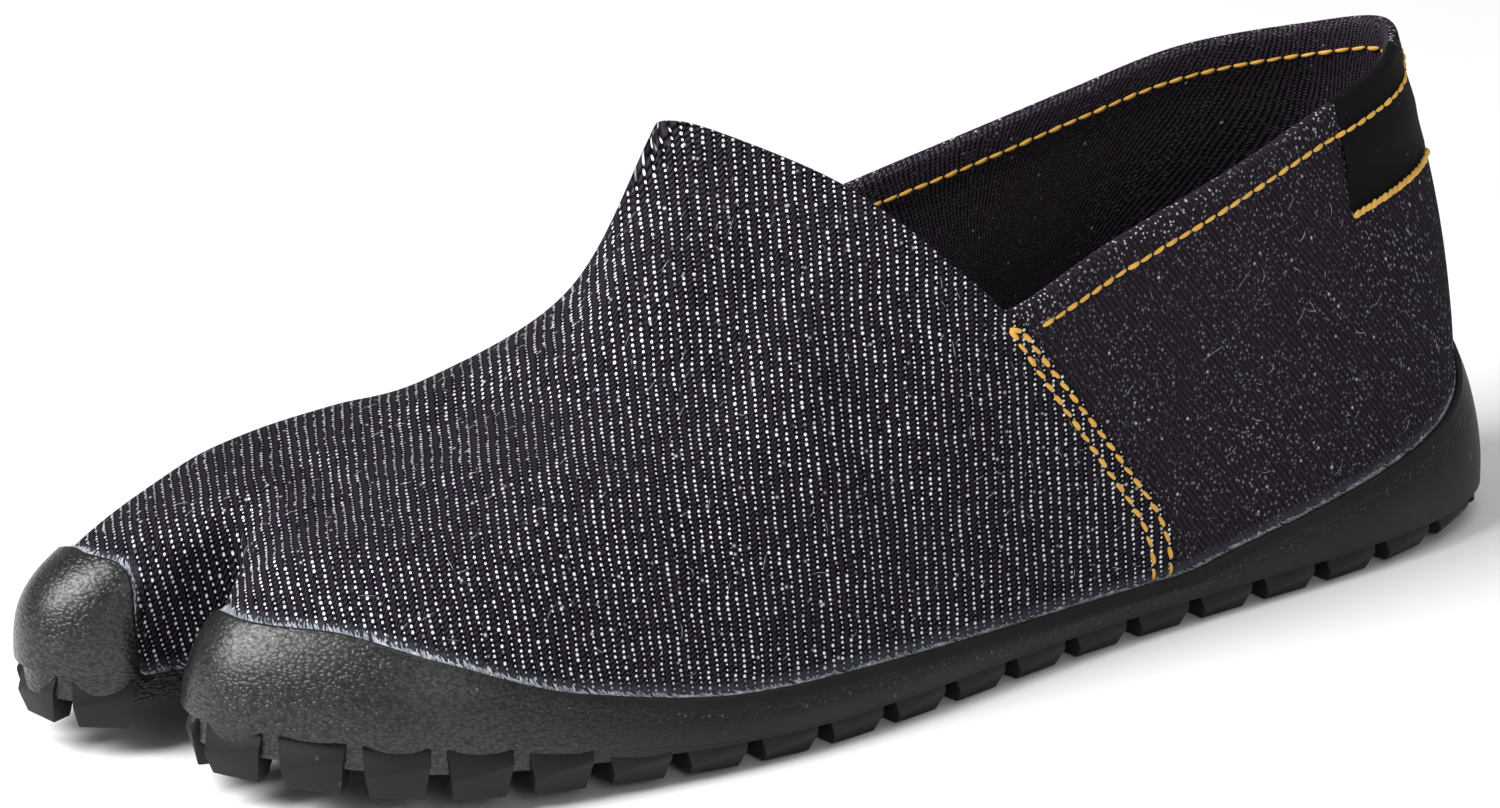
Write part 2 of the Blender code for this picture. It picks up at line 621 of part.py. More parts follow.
def build_lugs(last):
    """Tapered lugs round the edge and a field of blocks inside them, as one mesh."""
    bm = bmesh.new()
    steps = np.linspace(0.0, last.period, OUTLINE_POINTS)
    line, _ = last.outline(steps)
    arc = np.concatenate([[0.0], np.cumsum(np.linalg.norm(np.diff(line, axis=0), axis=1))])
    skip = np.interp([last.station("cap_end_outer"), last.station("split_inner")], steps, arc)
    toes = np.interp([last.station("toe4"), last.station("toe1_side")], steps, arc)
    middle = LUG_FIRST
    while middle < arc[-1] - LUG_FOOT * 0.5:
        if not skip[0] < middle < skip[1] + LUG_FOOT * 0.5:
            ends = [middle + side * half for side, half in
                    ((-1, LUG_TOP * 0.5), (1, LUG_TOP * 0.5), (-1, LUG_FOOT * 0.5), (1, LUG_FOOT * 0.5))]
            point, inward = last.outline(np.interp(ends, arc, steps))
            depth = TOE_LUG_DEPTH if toes[0] < middle < toes[1] else LUG_DEPTH
            top = [point[0] + inward[0] * LUG_SETBACK, point[1] + inward[1] * LUG_SETBACK,
                   point[1] + inward[1] * depth, point[0] + inward[0] * depth]
            reach = LUG_SETBACK + LUG_FLARE
            foot = [point[2] + inward[2] * reach, point[3] + inward[3] * reach,
                    point[3] + inward[3] * (depth - LUG_FLARE), point[2] + inward[2] * (depth - LUG_FLARE)]
            add_lug(
                bm,
                [(p[0], p[1], spring(p[0], p[1]) + LUG_HEIGHT + LUG_ROOT) for p in top],
                [(p[0], p[1], tread_height(p[0], p[1])) for p in foot],
            )
        middle += LUG_PITCH
    loop = line[::20]
    half_x = CENTRE_LUG[0] * 0.5
    half_y = CENTRE_LUG[1] * 0.5
    across = int(TOE_TIP * 0.2 / CENTRE_PITCH[1])
    for i in range(int(TOE_TIP / CENTRE_PITCH[0])):
        for j in range(-across, across + 1):
            cx = (i + 0.5) * CENTRE_PITCH[0]
            cy = (j + 0.5 * (i % 2)) * CENTRE_PITCH[1]
            if inside(loop, cx, cy) and np.hypot(loop[:, 0] - cx, loop[:, 1] - cy).min() > CENTRE_MARGIN:
                corners = [(cx - half_x, cy - half_y), (cx + half_x, cy - half_y),
                           (cx + half_x, cy + half_y), (cx - half_x, cy + half_y)]
                add_lug(
                    bm,
                    [(a, b, spring(a, b) + LUG_HEIGHT + LUG_ROOT) for a, b in corners],
                    [(a, b, tread_height(a, b)) for a, b in corners],
                )
    return bm


def build_sole(upper):
    """Cup and tread joined into one moulded solid."""
    rings = cup_rings(upper)
    bm = bmesh.new()
    made = skin(bm, rings, False)
    cover(bm, made[0], rings[0][:, :2], lambda x, y: spring(x, y) + LUG_HEIGHT)
    cover(bm, made[-1], rings[-1][:, :2], lambda x, y: spring(x, y) + BED)
    sole = new_object("sole", bm)
    lug_mesh = bpy.data.meshes.new("lugs")
    lugs_bm = build_lugs(upper.last)
    bmesh.ops.recalc_face_normals(lugs_bm, faces=lugs_bm.faces)
    lugs_bm.to_mesh(lug_mesh)
    lugs_bm.free()
    lugs = bpy.data.objects.new("lugs", lug_mesh)
    bpy.context.scene.collection.objects.link(lugs)
    lugs.hide_render = True
    lugs.display_type = "WIRE"
    union = sole.modifiers.new("tread", "BOOLEAN")
    union.operation = "UNION"
    union.solver = "EXACT"
    union.use_self = True
    union.object = lugs
    return sole, lugs


def build_insole(upper):
    """Flat footbed with the split toe, clear of the upper all round."""
    inner = upper.face(upper.inner_at, True)
    out = upper.points(upper.inner_at)[1][:, 0, :2]
    out = out / np.linalg.norm(out, axis=1, keepdims=True)
    slope = (inner[:, 1, :2] - inner[:, 0, :2]) / (inner[:, 1, 2] - inner[:, 0, 2])[:, None]
    loops = []
    for level in (0.0, INSOLE_THICK):
        loop = inner[:, 0, :2] + slope * level - out * CLEARANCE
        loops.append(np.column_stack([loop, spring(loop[:, 0], loop[:, 1]) + BED + CLEARANCE + level]))
    bm = bmesh.new()
    made = skin(bm, loops, False)
    cover(bm, made[0], loops[0][:, :2], lambda x, y: spring(x, y) + BED + CLEARANCE)
    cover(bm, made[1], loops[1][:, :2], lambda x, y: spring(x, y) + BED + CLEARANCE + INSOLE_THICK)
    return new_object("insole", bm)


def build_heel_tab(upper):
    """Ribbon folded over the collar beside the back of the heel."""
    total = upper.along[:, -1:]
    drops = np.linspace(RIBBON_DROP, 0.0, RIBBON_RINGS)
    outer, out = upper.points(total - drops)
    inner, inner_out = upper.points(total - np.array([0.0, RIBBON_INSIDE]))
    gaps = (HEM + CLEARANCE, HEM + CLEARANCE + RIBBON)
    thick = DENIM + HEM
    rings = []
    for i in np.flatnonzero((upper.where >= RIBBON_FROM) & (upper.where <= RIBBON_TO)):
        near, far = (
            [outer[i, j] + out[i, j] * gap for j in range(RIBBON_RINGS)]
            + [inner[i, j] - inner_out[i, j] * (thick + gap - HEM) for j in range(2)]
            for gap in gaps
        )
        for path, gap in ((near, CLEARANCE), (far, CLEARANCE + RIBBON)):
            for j in (RIBBON_RINGS - 1, RIBBON_RINGS):
                path[j][2] = outer[i, -1, 2] + gap
        rings.append(np.array(near + far[::-1]))
    bm = bmesh.new()
    made = skin(bm, rings, False)
    count = len(made[0])
    for end in (made[0], made[-1]):
        for j in range(count // 2 - 1):
            bm.faces.new((end[j], end[j + 1], end[count - 2 - j], end[count - 1 - j]))
    return new_object("heel_tab", bm)


def main():
    """Build the pieces and stand them on the floor, centred in plan."""
    for item in list(bpy.data.objects):
        bpy.data.objects.remove(item, do_unlink=True)
    last = Last()
    upper = Upper(last)
    sole, lugs = build_sole(upper)
    pieces = [sole, lugs, build_upper(upper), build_insole(upper), build_heel_tab(upper)]
    line, _ = last.outline(np.linspace(0.0, last.period, OUTLINE_POINTS))
    middle = (line.min(0) + line.max(0)) * 0.5
    shoe = bpy.data.objects.new("shoe", None)
    bpy.context.scene.collection.objects.link(shoe)
    shoe.location = (-middle[0] * MM, -middle[1] * MM, 0.0)
    for item in pieces:
        item.parent = shoe


main()
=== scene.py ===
"""Looks of a left split-toe denim shoe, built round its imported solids.

Lengths in the tables are millimetres from the back of the foot: +X runs to the toes, +Y to the
outer side, +Z up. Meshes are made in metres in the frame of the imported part.
"""
import logging
import math
from dataclasses import dataclass
from enum import Enum
from typing import Any, Callable, NamedTuple, Optional, Sequence, Union

import bmesh
import bpy
import numpy as np
from mathutils import Matrix, Vector
from mathutils.geometry import delaunay_2d_cdt


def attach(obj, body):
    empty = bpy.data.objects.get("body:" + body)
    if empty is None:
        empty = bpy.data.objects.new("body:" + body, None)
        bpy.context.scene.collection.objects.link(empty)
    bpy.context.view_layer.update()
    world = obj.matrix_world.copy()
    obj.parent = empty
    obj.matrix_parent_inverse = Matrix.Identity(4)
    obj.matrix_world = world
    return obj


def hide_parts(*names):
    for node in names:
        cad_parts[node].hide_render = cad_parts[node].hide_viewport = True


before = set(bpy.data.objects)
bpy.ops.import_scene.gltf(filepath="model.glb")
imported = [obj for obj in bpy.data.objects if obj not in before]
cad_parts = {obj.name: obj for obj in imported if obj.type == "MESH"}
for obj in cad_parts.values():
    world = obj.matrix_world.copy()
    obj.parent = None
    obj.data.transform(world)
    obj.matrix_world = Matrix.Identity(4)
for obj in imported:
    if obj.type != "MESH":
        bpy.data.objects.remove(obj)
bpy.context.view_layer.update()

Array = np.ndarray
Colour = tuple[float, float, float]
Socket = bpy.types.NodeSocket
Value = Union[Socket, float, Sequence[float]]

LOG = logging.getLogger("shoe")
MM = 0.001
BODY = "root"
UV_SCALE = 0.01
MERGE = 1e-7
# Height above the rubber given to cloth that never meets it.
FAR_UP = 50.0
# Share of the cloth's height over which its upward direction is measured.
SHARE_STEP = 0.02


class Panel(Enum):
    """The faces of cloth that the upper is made of, by their place in its material list."""

    VAMP = 0
    QUARTER = 1
    LINING = 2


class Side(Enum):
    """The two sides of the shoe."""

    OUTER = 1.0
    INNER = -1.0


class OutlineRow(NamedTuple):
    """One section of the shoe: outline of the rubber, its extra thickness, edge height and collar station."""

    name: str
    x: float
    y: float
    flare: float
    edge: float
    top: float


class ToplineRow(NamedTuple):
    """One point of the edge of the opening."""

    name: str
    x: float
    y: float
    z: float


class ProfileRow(NamedTuple):
    """Side shape of one section: share of the way to the opening seen from above, and height there."""

    name: str
    q1: float
    z1: float
    q2: float
    z2: float
    q3: float
    z3: float
    q4: float
    z4: float


OUTLINE = tuple(OutlineRow(*row) for row in (
    ("heel_back", -7.0, 0.0, 3.0, 28.0, 0.0),
    ("heel_outer", 0.5, 19.0, 3.0, 21.5, 1.0),
    ("heel_side_outer", 28.0, 30.6, 1.2, 15.2, 1.9),
    ("seat_outer", 58.0, 33.4, 0.0, 10.6, 3.0),
    ("seam_outer", 73.5, 34.55, 0.0, 8.3, 5.0),
    ("waist_outer", 98.0, 37.3, 0.0, 8.7, 5.7),
    ("ball_rear_outer", 137.0, 43.8, 0.0, 10.4, 7.0),
    ("ball_outer", 166.0, 45.8, 0.0, 11.8, 8.0),
    ("toe5", 196.0, 43.0, 0.0, 17.0, 8.7),
    ("toe4", 222.0, 36.5, 0.0, 25.0, 9.2),
    ("toe3", 238.8, 21.8, 0.0, 29.0, 9.5),
    ("toe2", 246.0, 8.2, 0.0, 29.0, 9.7),
    ("toe2_inner", 243.2, -0.6, 0.0, 27.0, 9.78),
    ("cap_end_outer", 238.8, -4.4, 0.0, 23.0, 9.84),
    ("split_outer", 233.6, -6.3, 0.0, 15.0, 9.9),
    ("crotch", 229.0, -8.7, 0.0, 13.5, 9.95),
    ("split_inner", 235.2, -11.2, 0.0, 15.0, 10.0),
    ("toe1_outer", 244.5, -11.6, 0.0, 28.0, 10.1),
    ("toe1_front_outer", 253.5, -17.0, 0.0, 32.5, 10.2),
    ("toe1", 257.0, -25.5, 0.0, 29.5, 10.35),
    ("toe1_front_inner", 252.0, -35.5, 0.0, 28.5, 10.6),
    ("toe1_side", 238.0, -42.8, 0.0, 24.0, 10.9),
    ("ball_front_inner", 214.0, -47.0, 0.0, 17.0, 11.4),
    ("ball_inner", 187.0, -46.0, 0.0, 13.0, 12.0),
    ("waist_front_inner", 150.0, -38.5, 0.0, 11.0, 13.2),
    ("waist_inner", 112.0, -32.8, 0.0, 9.4, 14.3),
    ("seam_inner", 73.5, -31.95, 0.0, 9.3, 15.0),
    ("seat_inner", 58.0, -31.8, 0.0, 11.0, 17.0),
    ("heel_side_inner", 28.0, -29.4, 1.2, 15.2, 18.1),
    ("heel_inner", 0.5, -18.5, 3.0, 21.5, 19.0),
))

TOPLINE = tuple(ToplineRow(*row) for row in (
    ("back", 8.0, 0.0, 83.8),
    ("back_outer", 16.5, 11.8, 81.2),
    ("collar_a_outer", 35.5, 20.2, 78.5),
    ("collar_b_outer", 56.0, 24.2, 73.3),
    ("collar_c_outer", 84.0, 27.7, 66.6),
    ("corner_outer", 107.0, 31.8, 60.8),
    ("throat_a_outer", 113.6, 29.4, 66.8),
    ("throat_b_outer", 122.0, 24.6, 75.6),
    ("throat_c_outer", 130.0, 17.8, 82.7),
    ("throat_d_outer", 139.0, 9.5, 87.9),
    ("peak", 148.9, -0.4, 92.3),
    ("throat_d_inner", 149.4, -7.2, 90.4),
    ("throat_c_inner", 139.0, -15.0, 83.0),
    ("throat_b_inner", 127.0, -22.5, 74.0),
    ("throat_a_inner", 114.5, -29.2, 65.6),
    ("corner_inner", 107.0, -31.8, 60.8),
    ("collar_c_inner", 84.0, -27.7, 66.6),
    ("collar_b_inner", 56.0, -24.2, 73.3),
    ("collar_a_inner", 35.5, -20.2, 78.5),
    ("back_inner", 16.5, -11.8, 81.2),
))

PROFILES = tuple(ProfileRow(*row) for row in (
    ("heel_back", -0.09, 24.0, 0.02, 40.0, 0.21, 54.0, 0.54, 68.0),
    ("heel_outer", -0.06, 24.0, 0.06, 40.0, 0.28, 54.0, 0.60, 68.0),
    ("heel_side_outer", -0.02, 22.0, 0.14, 38.0, 0.42, 54.0, 0.71, 67.0),
    ("seat_outer", 0.00, 20.0, 0.22, 36.0, 0.52, 51.0, 0.78, 63.0),
    ("seam_outer", 0.06, 18.0, 0.32, 31.0, 0.58, 42.5, 0.80, 52.0),
    ("waist_outer", 0.08, 18.0, 0.34, 33.5, 0.60, 47.0, 0.81, 57.0),
    ("ball_rear_outer", 0.07, 18.0, 0.34, 40.0, 0.60, 54.5, 0.82, 66.0),
    ("ball_outer", 0.05, 18.0, 0.30, 40.0, 0.58, 57.0, 0.82, 71.0),
    ("toe5", 0.04, 20.0, 0.24, 38.0, 0.56, 53.0, 0.83, 71.5),
    ("toe4", 0.03, 22.0, 0.18, 37.5, 0.54, 51.0, 0.83, 73.0),
    ("toe2", 0.02, 24.0, 0.14, 36.5, 0.58, 50.8, 0.83, 69.4),
    ("toe2_inner", 0.02, 22.0, 0.13, 34.8, 0.57, 50.8, 0.82, 67.4),
    ("crotch", 0.012, 22.0, 0.045, 33.8, 0.19, 43.5, 0.72, 66.5),
    ("toe1_outer", 0.02, 23.0, 0.14, 36.2, 0.58, 50.2, 0.82, 64.4),
    ("toe1", 0.01, 24.0, 0.14, 35.8, 0.57, 49.8, 0.83, 63.6),
    ("toe1_side", 0.03, 23.0, 0.20, 38.4, 0.57, 48.6, 0.83, 60.9),
    ("ball_front_inner", 0.04, 20.0, 0.24, 38.0, 0.585, 49.0, 0.83, 62.2),
    ("ball_inner", 0.05, 19.0, 0.28, 38.2, 0.59, 50.4, 0.82, 64.8),
    ("waist_front_inner", 0.08, 18.0, 0.34, 38.0, 0.60, 51.5, 0.82, 62.0),
    ("waist_inner", 0.10, 18.0, 0.34, 33.0, 0.60, 46.0, 0.81, 55.0),
    ("seam_inner", 0.08, 18.0, 0.32, 31.0, 0.58, 42.5, 0.80, 52.0),
    ("seat_inner", 0.02, 20.0, 0.22, 36.0, 0.52, 51.0, 0.78, 63.0),
    ("heel_side_inner", -0.02, 22.0, 0.14, 38.0, 0.42, 54.0, 0.71, 67.0),
    ("heel_inner", -0.06, 24.0, 0.06, 40.0, 0.28, 54.0, 0.60, 68.0),
))


class Fold(NamedTuple):
    """A soft trough or ridge of the cloth along a line of plan points.

    depth is how far the cloth rises (or sinks, where negative), width how far to each side.
    """

    line: tuple[tuple[float, float], ...]
    width: float
    depth: float


FOLDS = (
    Fold(((219.0, -27.0), (207.0, -29.0), (198.0, -25.0)), 7.0, 1.2),
    Fold(((212.0, -20.0), (213.0, -10.0), (214.5, 1.0)), 3.2, -1.4),
    Fold(((197.0, -11.0), (195.0, -5.0), (196.0, 4.0)), 3.6, -1.0),
    Fold(((178.0, -5.0), (177.5, 3.0), (175.5, 10.0)), 4.5, 1.1),
    Fold(((188.0, -4.0), (179.0, 10.0), (167.0, 18.0), (157.0, 24.0)), 4.5, -1.8),
    Fold(((203.0, 5.0), (193.0, 18.0), (181.0, 28.0), (176.0, 33.0)), 5.5, 1.3),
    Fold(((163.0, 7.0), (155.0, 18.0), (144.0, 29.0)), 6.0, 1.8),
    Fold(((146.0, 18.0), (140.0, 28.0), (134.0, 36.0)), 6.0, -1.6),
    Fold(((154.0, -1.0), (153.5, 9.0), (155.0, 15.0)), 4.0, -0.9),
    Fold(((228.0, 7.0), (222.0, 13.0), (216.5, 19.0)), 4.5, 0.8),
    Fold(((230.0, -8.0), (224.0, -5.0), (217.0, -3.0)), 4.5, 1.5),
)


def column(rows: Sequence[NamedTuple], name: str) -> Array:
    """Read one named column of a table."""
    return np.array([getattr(row, name) for row in rows], dtype=float)


def smooth(value: Any, low: float, high: float) -> Array:
    """Ease from 0 at low to 1 at high."""
    share = np.clip((np.asarray(value, dtype=float) - low) / (high - low), 0.0, 1.0)
    return share * share * (3.0 - 2.0 * share)


def unit(vectors: Array) -> Array:
    """Scale vectors along the last axis to a length of one."""
    return vectors / np.maximum(np.linalg.norm(vectors, axis=-1, keepdims=True), 1e-12)


def spans(knots: Array, period: float, where: Array) -> tuple[Array, Array, Array, Array]:
    """Find the spans of a closed line that places fall in.

    Args:
        knots: Places of the spans' starts along the closed line.
        period: Length of the closed line.
        where: Places to find.

    Returns:
        Numbers of the knots before and after, length of the span and share of the way along it.
    """
    step = np.diff(np.append(knots, knots[0] + period))
    place = np.mod(where - knots[0], period) + knots[0]
    low = np.clip(np.searchsorted(knots, place, side="right") - 1, 0, len(knots) - 1)
    return low, (low + 1) % len(knots), step[low], (place - knots[low]) / step[low]


def closed_spline(knots: Array, values: Array, period: float, where: Array) -> Array:
    """Smooth closed curve through values, second derivatives continuous.

    Args:
        knots: Places of the values along the closed line.
        values: Values at the knots.
        period: Length of the closed line.
        where: Places to read.

    Returns:
        The curve's values at the places asked for.
    """
    count = len(knots)
    step = np.diff(np.append(knots, knots[0] + period))
    rise = np.roll(values, -1) - values
    matrix = np.zeros((count, count))
    right = np.zeros(count)
    for i in range(count):
        before, after = step[i - 1], step[i]
        matrix[i, i - 1] += before
        matrix[i, i] += 2.0 * (before + after)
        matrix[i, (i + 1) % count] += after
        right[i] = 6.0 * (rise[i] / after - rise[i - 1] / before)
    bend = np.linalg.solve(matrix, right)
    low, high, width, b = spans(knots, period, where)
    a = 1.0 - b
    curve = a * values[low] + b * values[high]
    return curve + ((a**3 - a) * bend[low] + (b**3 - b) * bend[high]) * width**2 / 6.0


def hermite(b: Array, width: Array, ends: tuple[Array, Array], slopes: tuple[Array, Array]) -> Array:
    """Cubic between two values with given slopes.

    Args:
        b: Share of the way, from 0 to 1.
        width: Length of each span.
        ends: Values at the start and end of the span.
        slopes: Slopes at the start and end of the span.

    Returns:
        The cubic's values.
    """
    start = (2.0 * b**3 - 3.0 * b**2 + 1.0) * ends[0] + (b**3 - 2.0 * b**2 + b) * width * slopes[0]
    return start + (3.0 * b**2 - 2.0 * b**3) * ends[1] + (b**3 - b**2) * width * slopes[1]


def closed_ease(knots: Array, values: Array, period: float, where: Array) -> Array:
    """Closed curve through values that never swings past its neighbours.

    Args:
        knots: Places of the values along the closed line.
        values: Values at the knots.
        period: Length of the closed line.
        where: Places to read.

    Returns:
        The curve's values at the places asked for.
    """
    step = np.diff(np.append(knots, knots[0] + period))
    slope = (np.roll(values, -1) - values) / step
    back = np.roll(slope, 1)
    same = slope * back > 0.0
    tangent = np.where(same, 2.0 * slope * back / np.where(same, slope + back, 1.0), 0.0)
    low, high, width, b = spans(knots, period, where)
    return hermite(b, width, (values[low], values[high]), (tangent[low], tangent[high]))


def thread(guide: Array, fine: int) -> Array:
    """Centripetal curve through the inner points of each guide row.

    Args:
        guide: Guide points, rows by points by axes.
        fine: Number of points wanted on each curve.

    Returns:
        The curves' points.
    """
    rows, count, _ = guide.shape
    gap = np.linalg.norm(np.diff(guide, axis=1), axis=2) ** 0.5
    time = np.concatenate([np.zeros((rows, 1)), np.cumsum(np.maximum(gap, 1e-6), 1)], 1)
    pieces = []
    for i in range(1, count - 2):
        t = time[:, i - 1:i + 3]
        p = guide[:, i - 1:i + 3]
        share = np.linspace(0.0, 1.0, fine // (count - 3) + 1)
        if i < count - 3:
            share = share[:-1]
        at = t[:, 1:2] + (t[:, 2:3] - t[:, 1:2]) * share

        def blend(a: Array, b: Array, ta: Array, tb: Array) -> Array:
            """Straight mix of two points by time."""
            mix = ((at - ta) / (tb - ta))[:, :, None]
            return a * (1.0 - mix) + b * mix

        a1 = blend(p[:, 0:1], p[:, 1:2], t[:, 0:1], t[:, 1:2])
        a2 = blend(p[:, 1:2], p[:, 2:3], t[:, 1:2], t[:, 2:3])
        a3 = blend(p[:, 2:3], p[:, 3:4], t[:, 2:3], t[:, 3:4])
        b1 = blend(a1, a2, t[:, 0:1], t[:, 2:3])
        b2 = blend(a2, a3, t[:, 1:2], t[:, 3:4])
        pieces.append(blend(b1, b2, t[:, 1:2], t[:, 2:3]))
    return np.concatenate(pieces, 1)


def lengths(curves: Array) -> Array:
    """Distance along each curve."""
    step = np.linalg.norm(np.diff(curves, axis=1), axis=2)
    return np.concatenate([np.zeros((len(curves), 1)), np.cumsum(step, 1)], 1)


def pick(curves: Array, along: Array, wanted: Array) -> Array:
    """Points of each curve at the wanted distances."""
    rows = zip(curves, along, wanted)
    return np.stack([np.stack([np.interp(w, a, axis) for axis in c.T], 1) for c, a, w in rows])


def normals(grid: Array) -> Array:
    """Outward directions of a grid of points.

    Args:
        grid: Points, closed along the first axis.

    Returns:
        Unit directions, same shape.
    """
    ahead = np.roll(grid, -1, 0) - grid
    behind = np.roll(ahead, 1, 0)
    ratio = np.linalg.norm(behind, axis=2, keepdims=True) / np.linalg.norm(ahead, axis=2, keepdims=True)
    return unit(np.cross(np.gradient(grid, axis=1), ahead * ratio + behind / ratio))


def inside(loop: Array, x: float, y: float) -> bool:
    """Whether a point lies inside a closed loop.

    Args:
        loop: Plan points of the loop.
        x: Place of the point along the shoe.
        y: Place of the point across the shoe.

    Returns:
        True for a point inside.
    """
    x0, y0 = loop[:, 0], loop[:, 1]
    x1, y1 = np.roll(x0, -1), np.roll(y0, -1)
    crosses = (y0 > y) != (y1 > y)
    span = np.where(crosses, y1 - y0, 1.0)
    return bool(np.count_nonzero(crosses & (x < (x1 - x0) * (y - y0) / span + x0)) % 2)


def flatten(points: Array, heading: Array, least: float) -> Array:
    """Lay a grid of cloth flat so that its weave runs along given planes.

    Args:
        points: Grid of points in space, rows by columns by three.
        heading: Normals of the planes that the weave's lines follow, same shape.
        least: Smallest rate across the lines, where the cloth faces along the normals.

    Returns:
        The flat places, rows by columns by two, in the units of the points; the lines run along the
        second axis.
    """
    rows, cols, _ = points.shape
    space = points.reshape(-1, 3)
    index = np.arange(rows * cols).reshape(rows, cols)
    a, b = index[:-1, :-1].ravel(), index[1:, :-1].ravel()
    c, d = index[1:, 1:].ravel(), index[:-1, 1:].ravel()
    faces = np.concatenate([np.stack([a, b, c], 1), np.stack([a, c, d], 1)])
    p = space[faces]
    out = unit(np.cross(p[:, 1] - p[:, 0], p[:, 2] - p[:, 0]))
    run = np.cross(out, heading.reshape(-1, 3)[faces].mean(1))
    least_trust, weight_range = 0.02, (0.05, 20.0)
    clear = np.clip(np.sum(run * run, 1), least_trust, 1.0)
    rate = np.maximum(np.linalg.norm(run, axis=1), least)
    run = unit(run)
    side = np.cross(run, out) * rate[:, None]
    matrix = np.zeros((len(space), len(space)))
    right = np.zeros((len(space), 2))
    for k in range(3):
        i, j, o = faces[:, k], faces[:, (k + 1) % 3], faces[:, (k + 2) % 3]
        u, v = space[i] - space[o], space[j] - space[o]
        turn = np.linalg.norm(np.cross(u, v), axis=1)
        weight = np.clip(np.sum(u * v, 1) / np.maximum(turn, 1e-9), *weight_range) * clear
        step = space[i] - space[j]
        wanted = np.stack([np.sum(step * side, 1), np.sum(step * run, 1)], 1) * weight[:, None]
        for s, t, sign in ((i, j, 1.0), (j, i, -1.0)):
            np.add.at(matrix, (s, s), weight)
            np.add.at(matrix, (s, t), -weight)
            np.add.at(right, s, wanted * sign)
    matrix[0, 0] += 1.0
    return np.linalg.solve(matrix, right).reshape(rows, cols, 2)


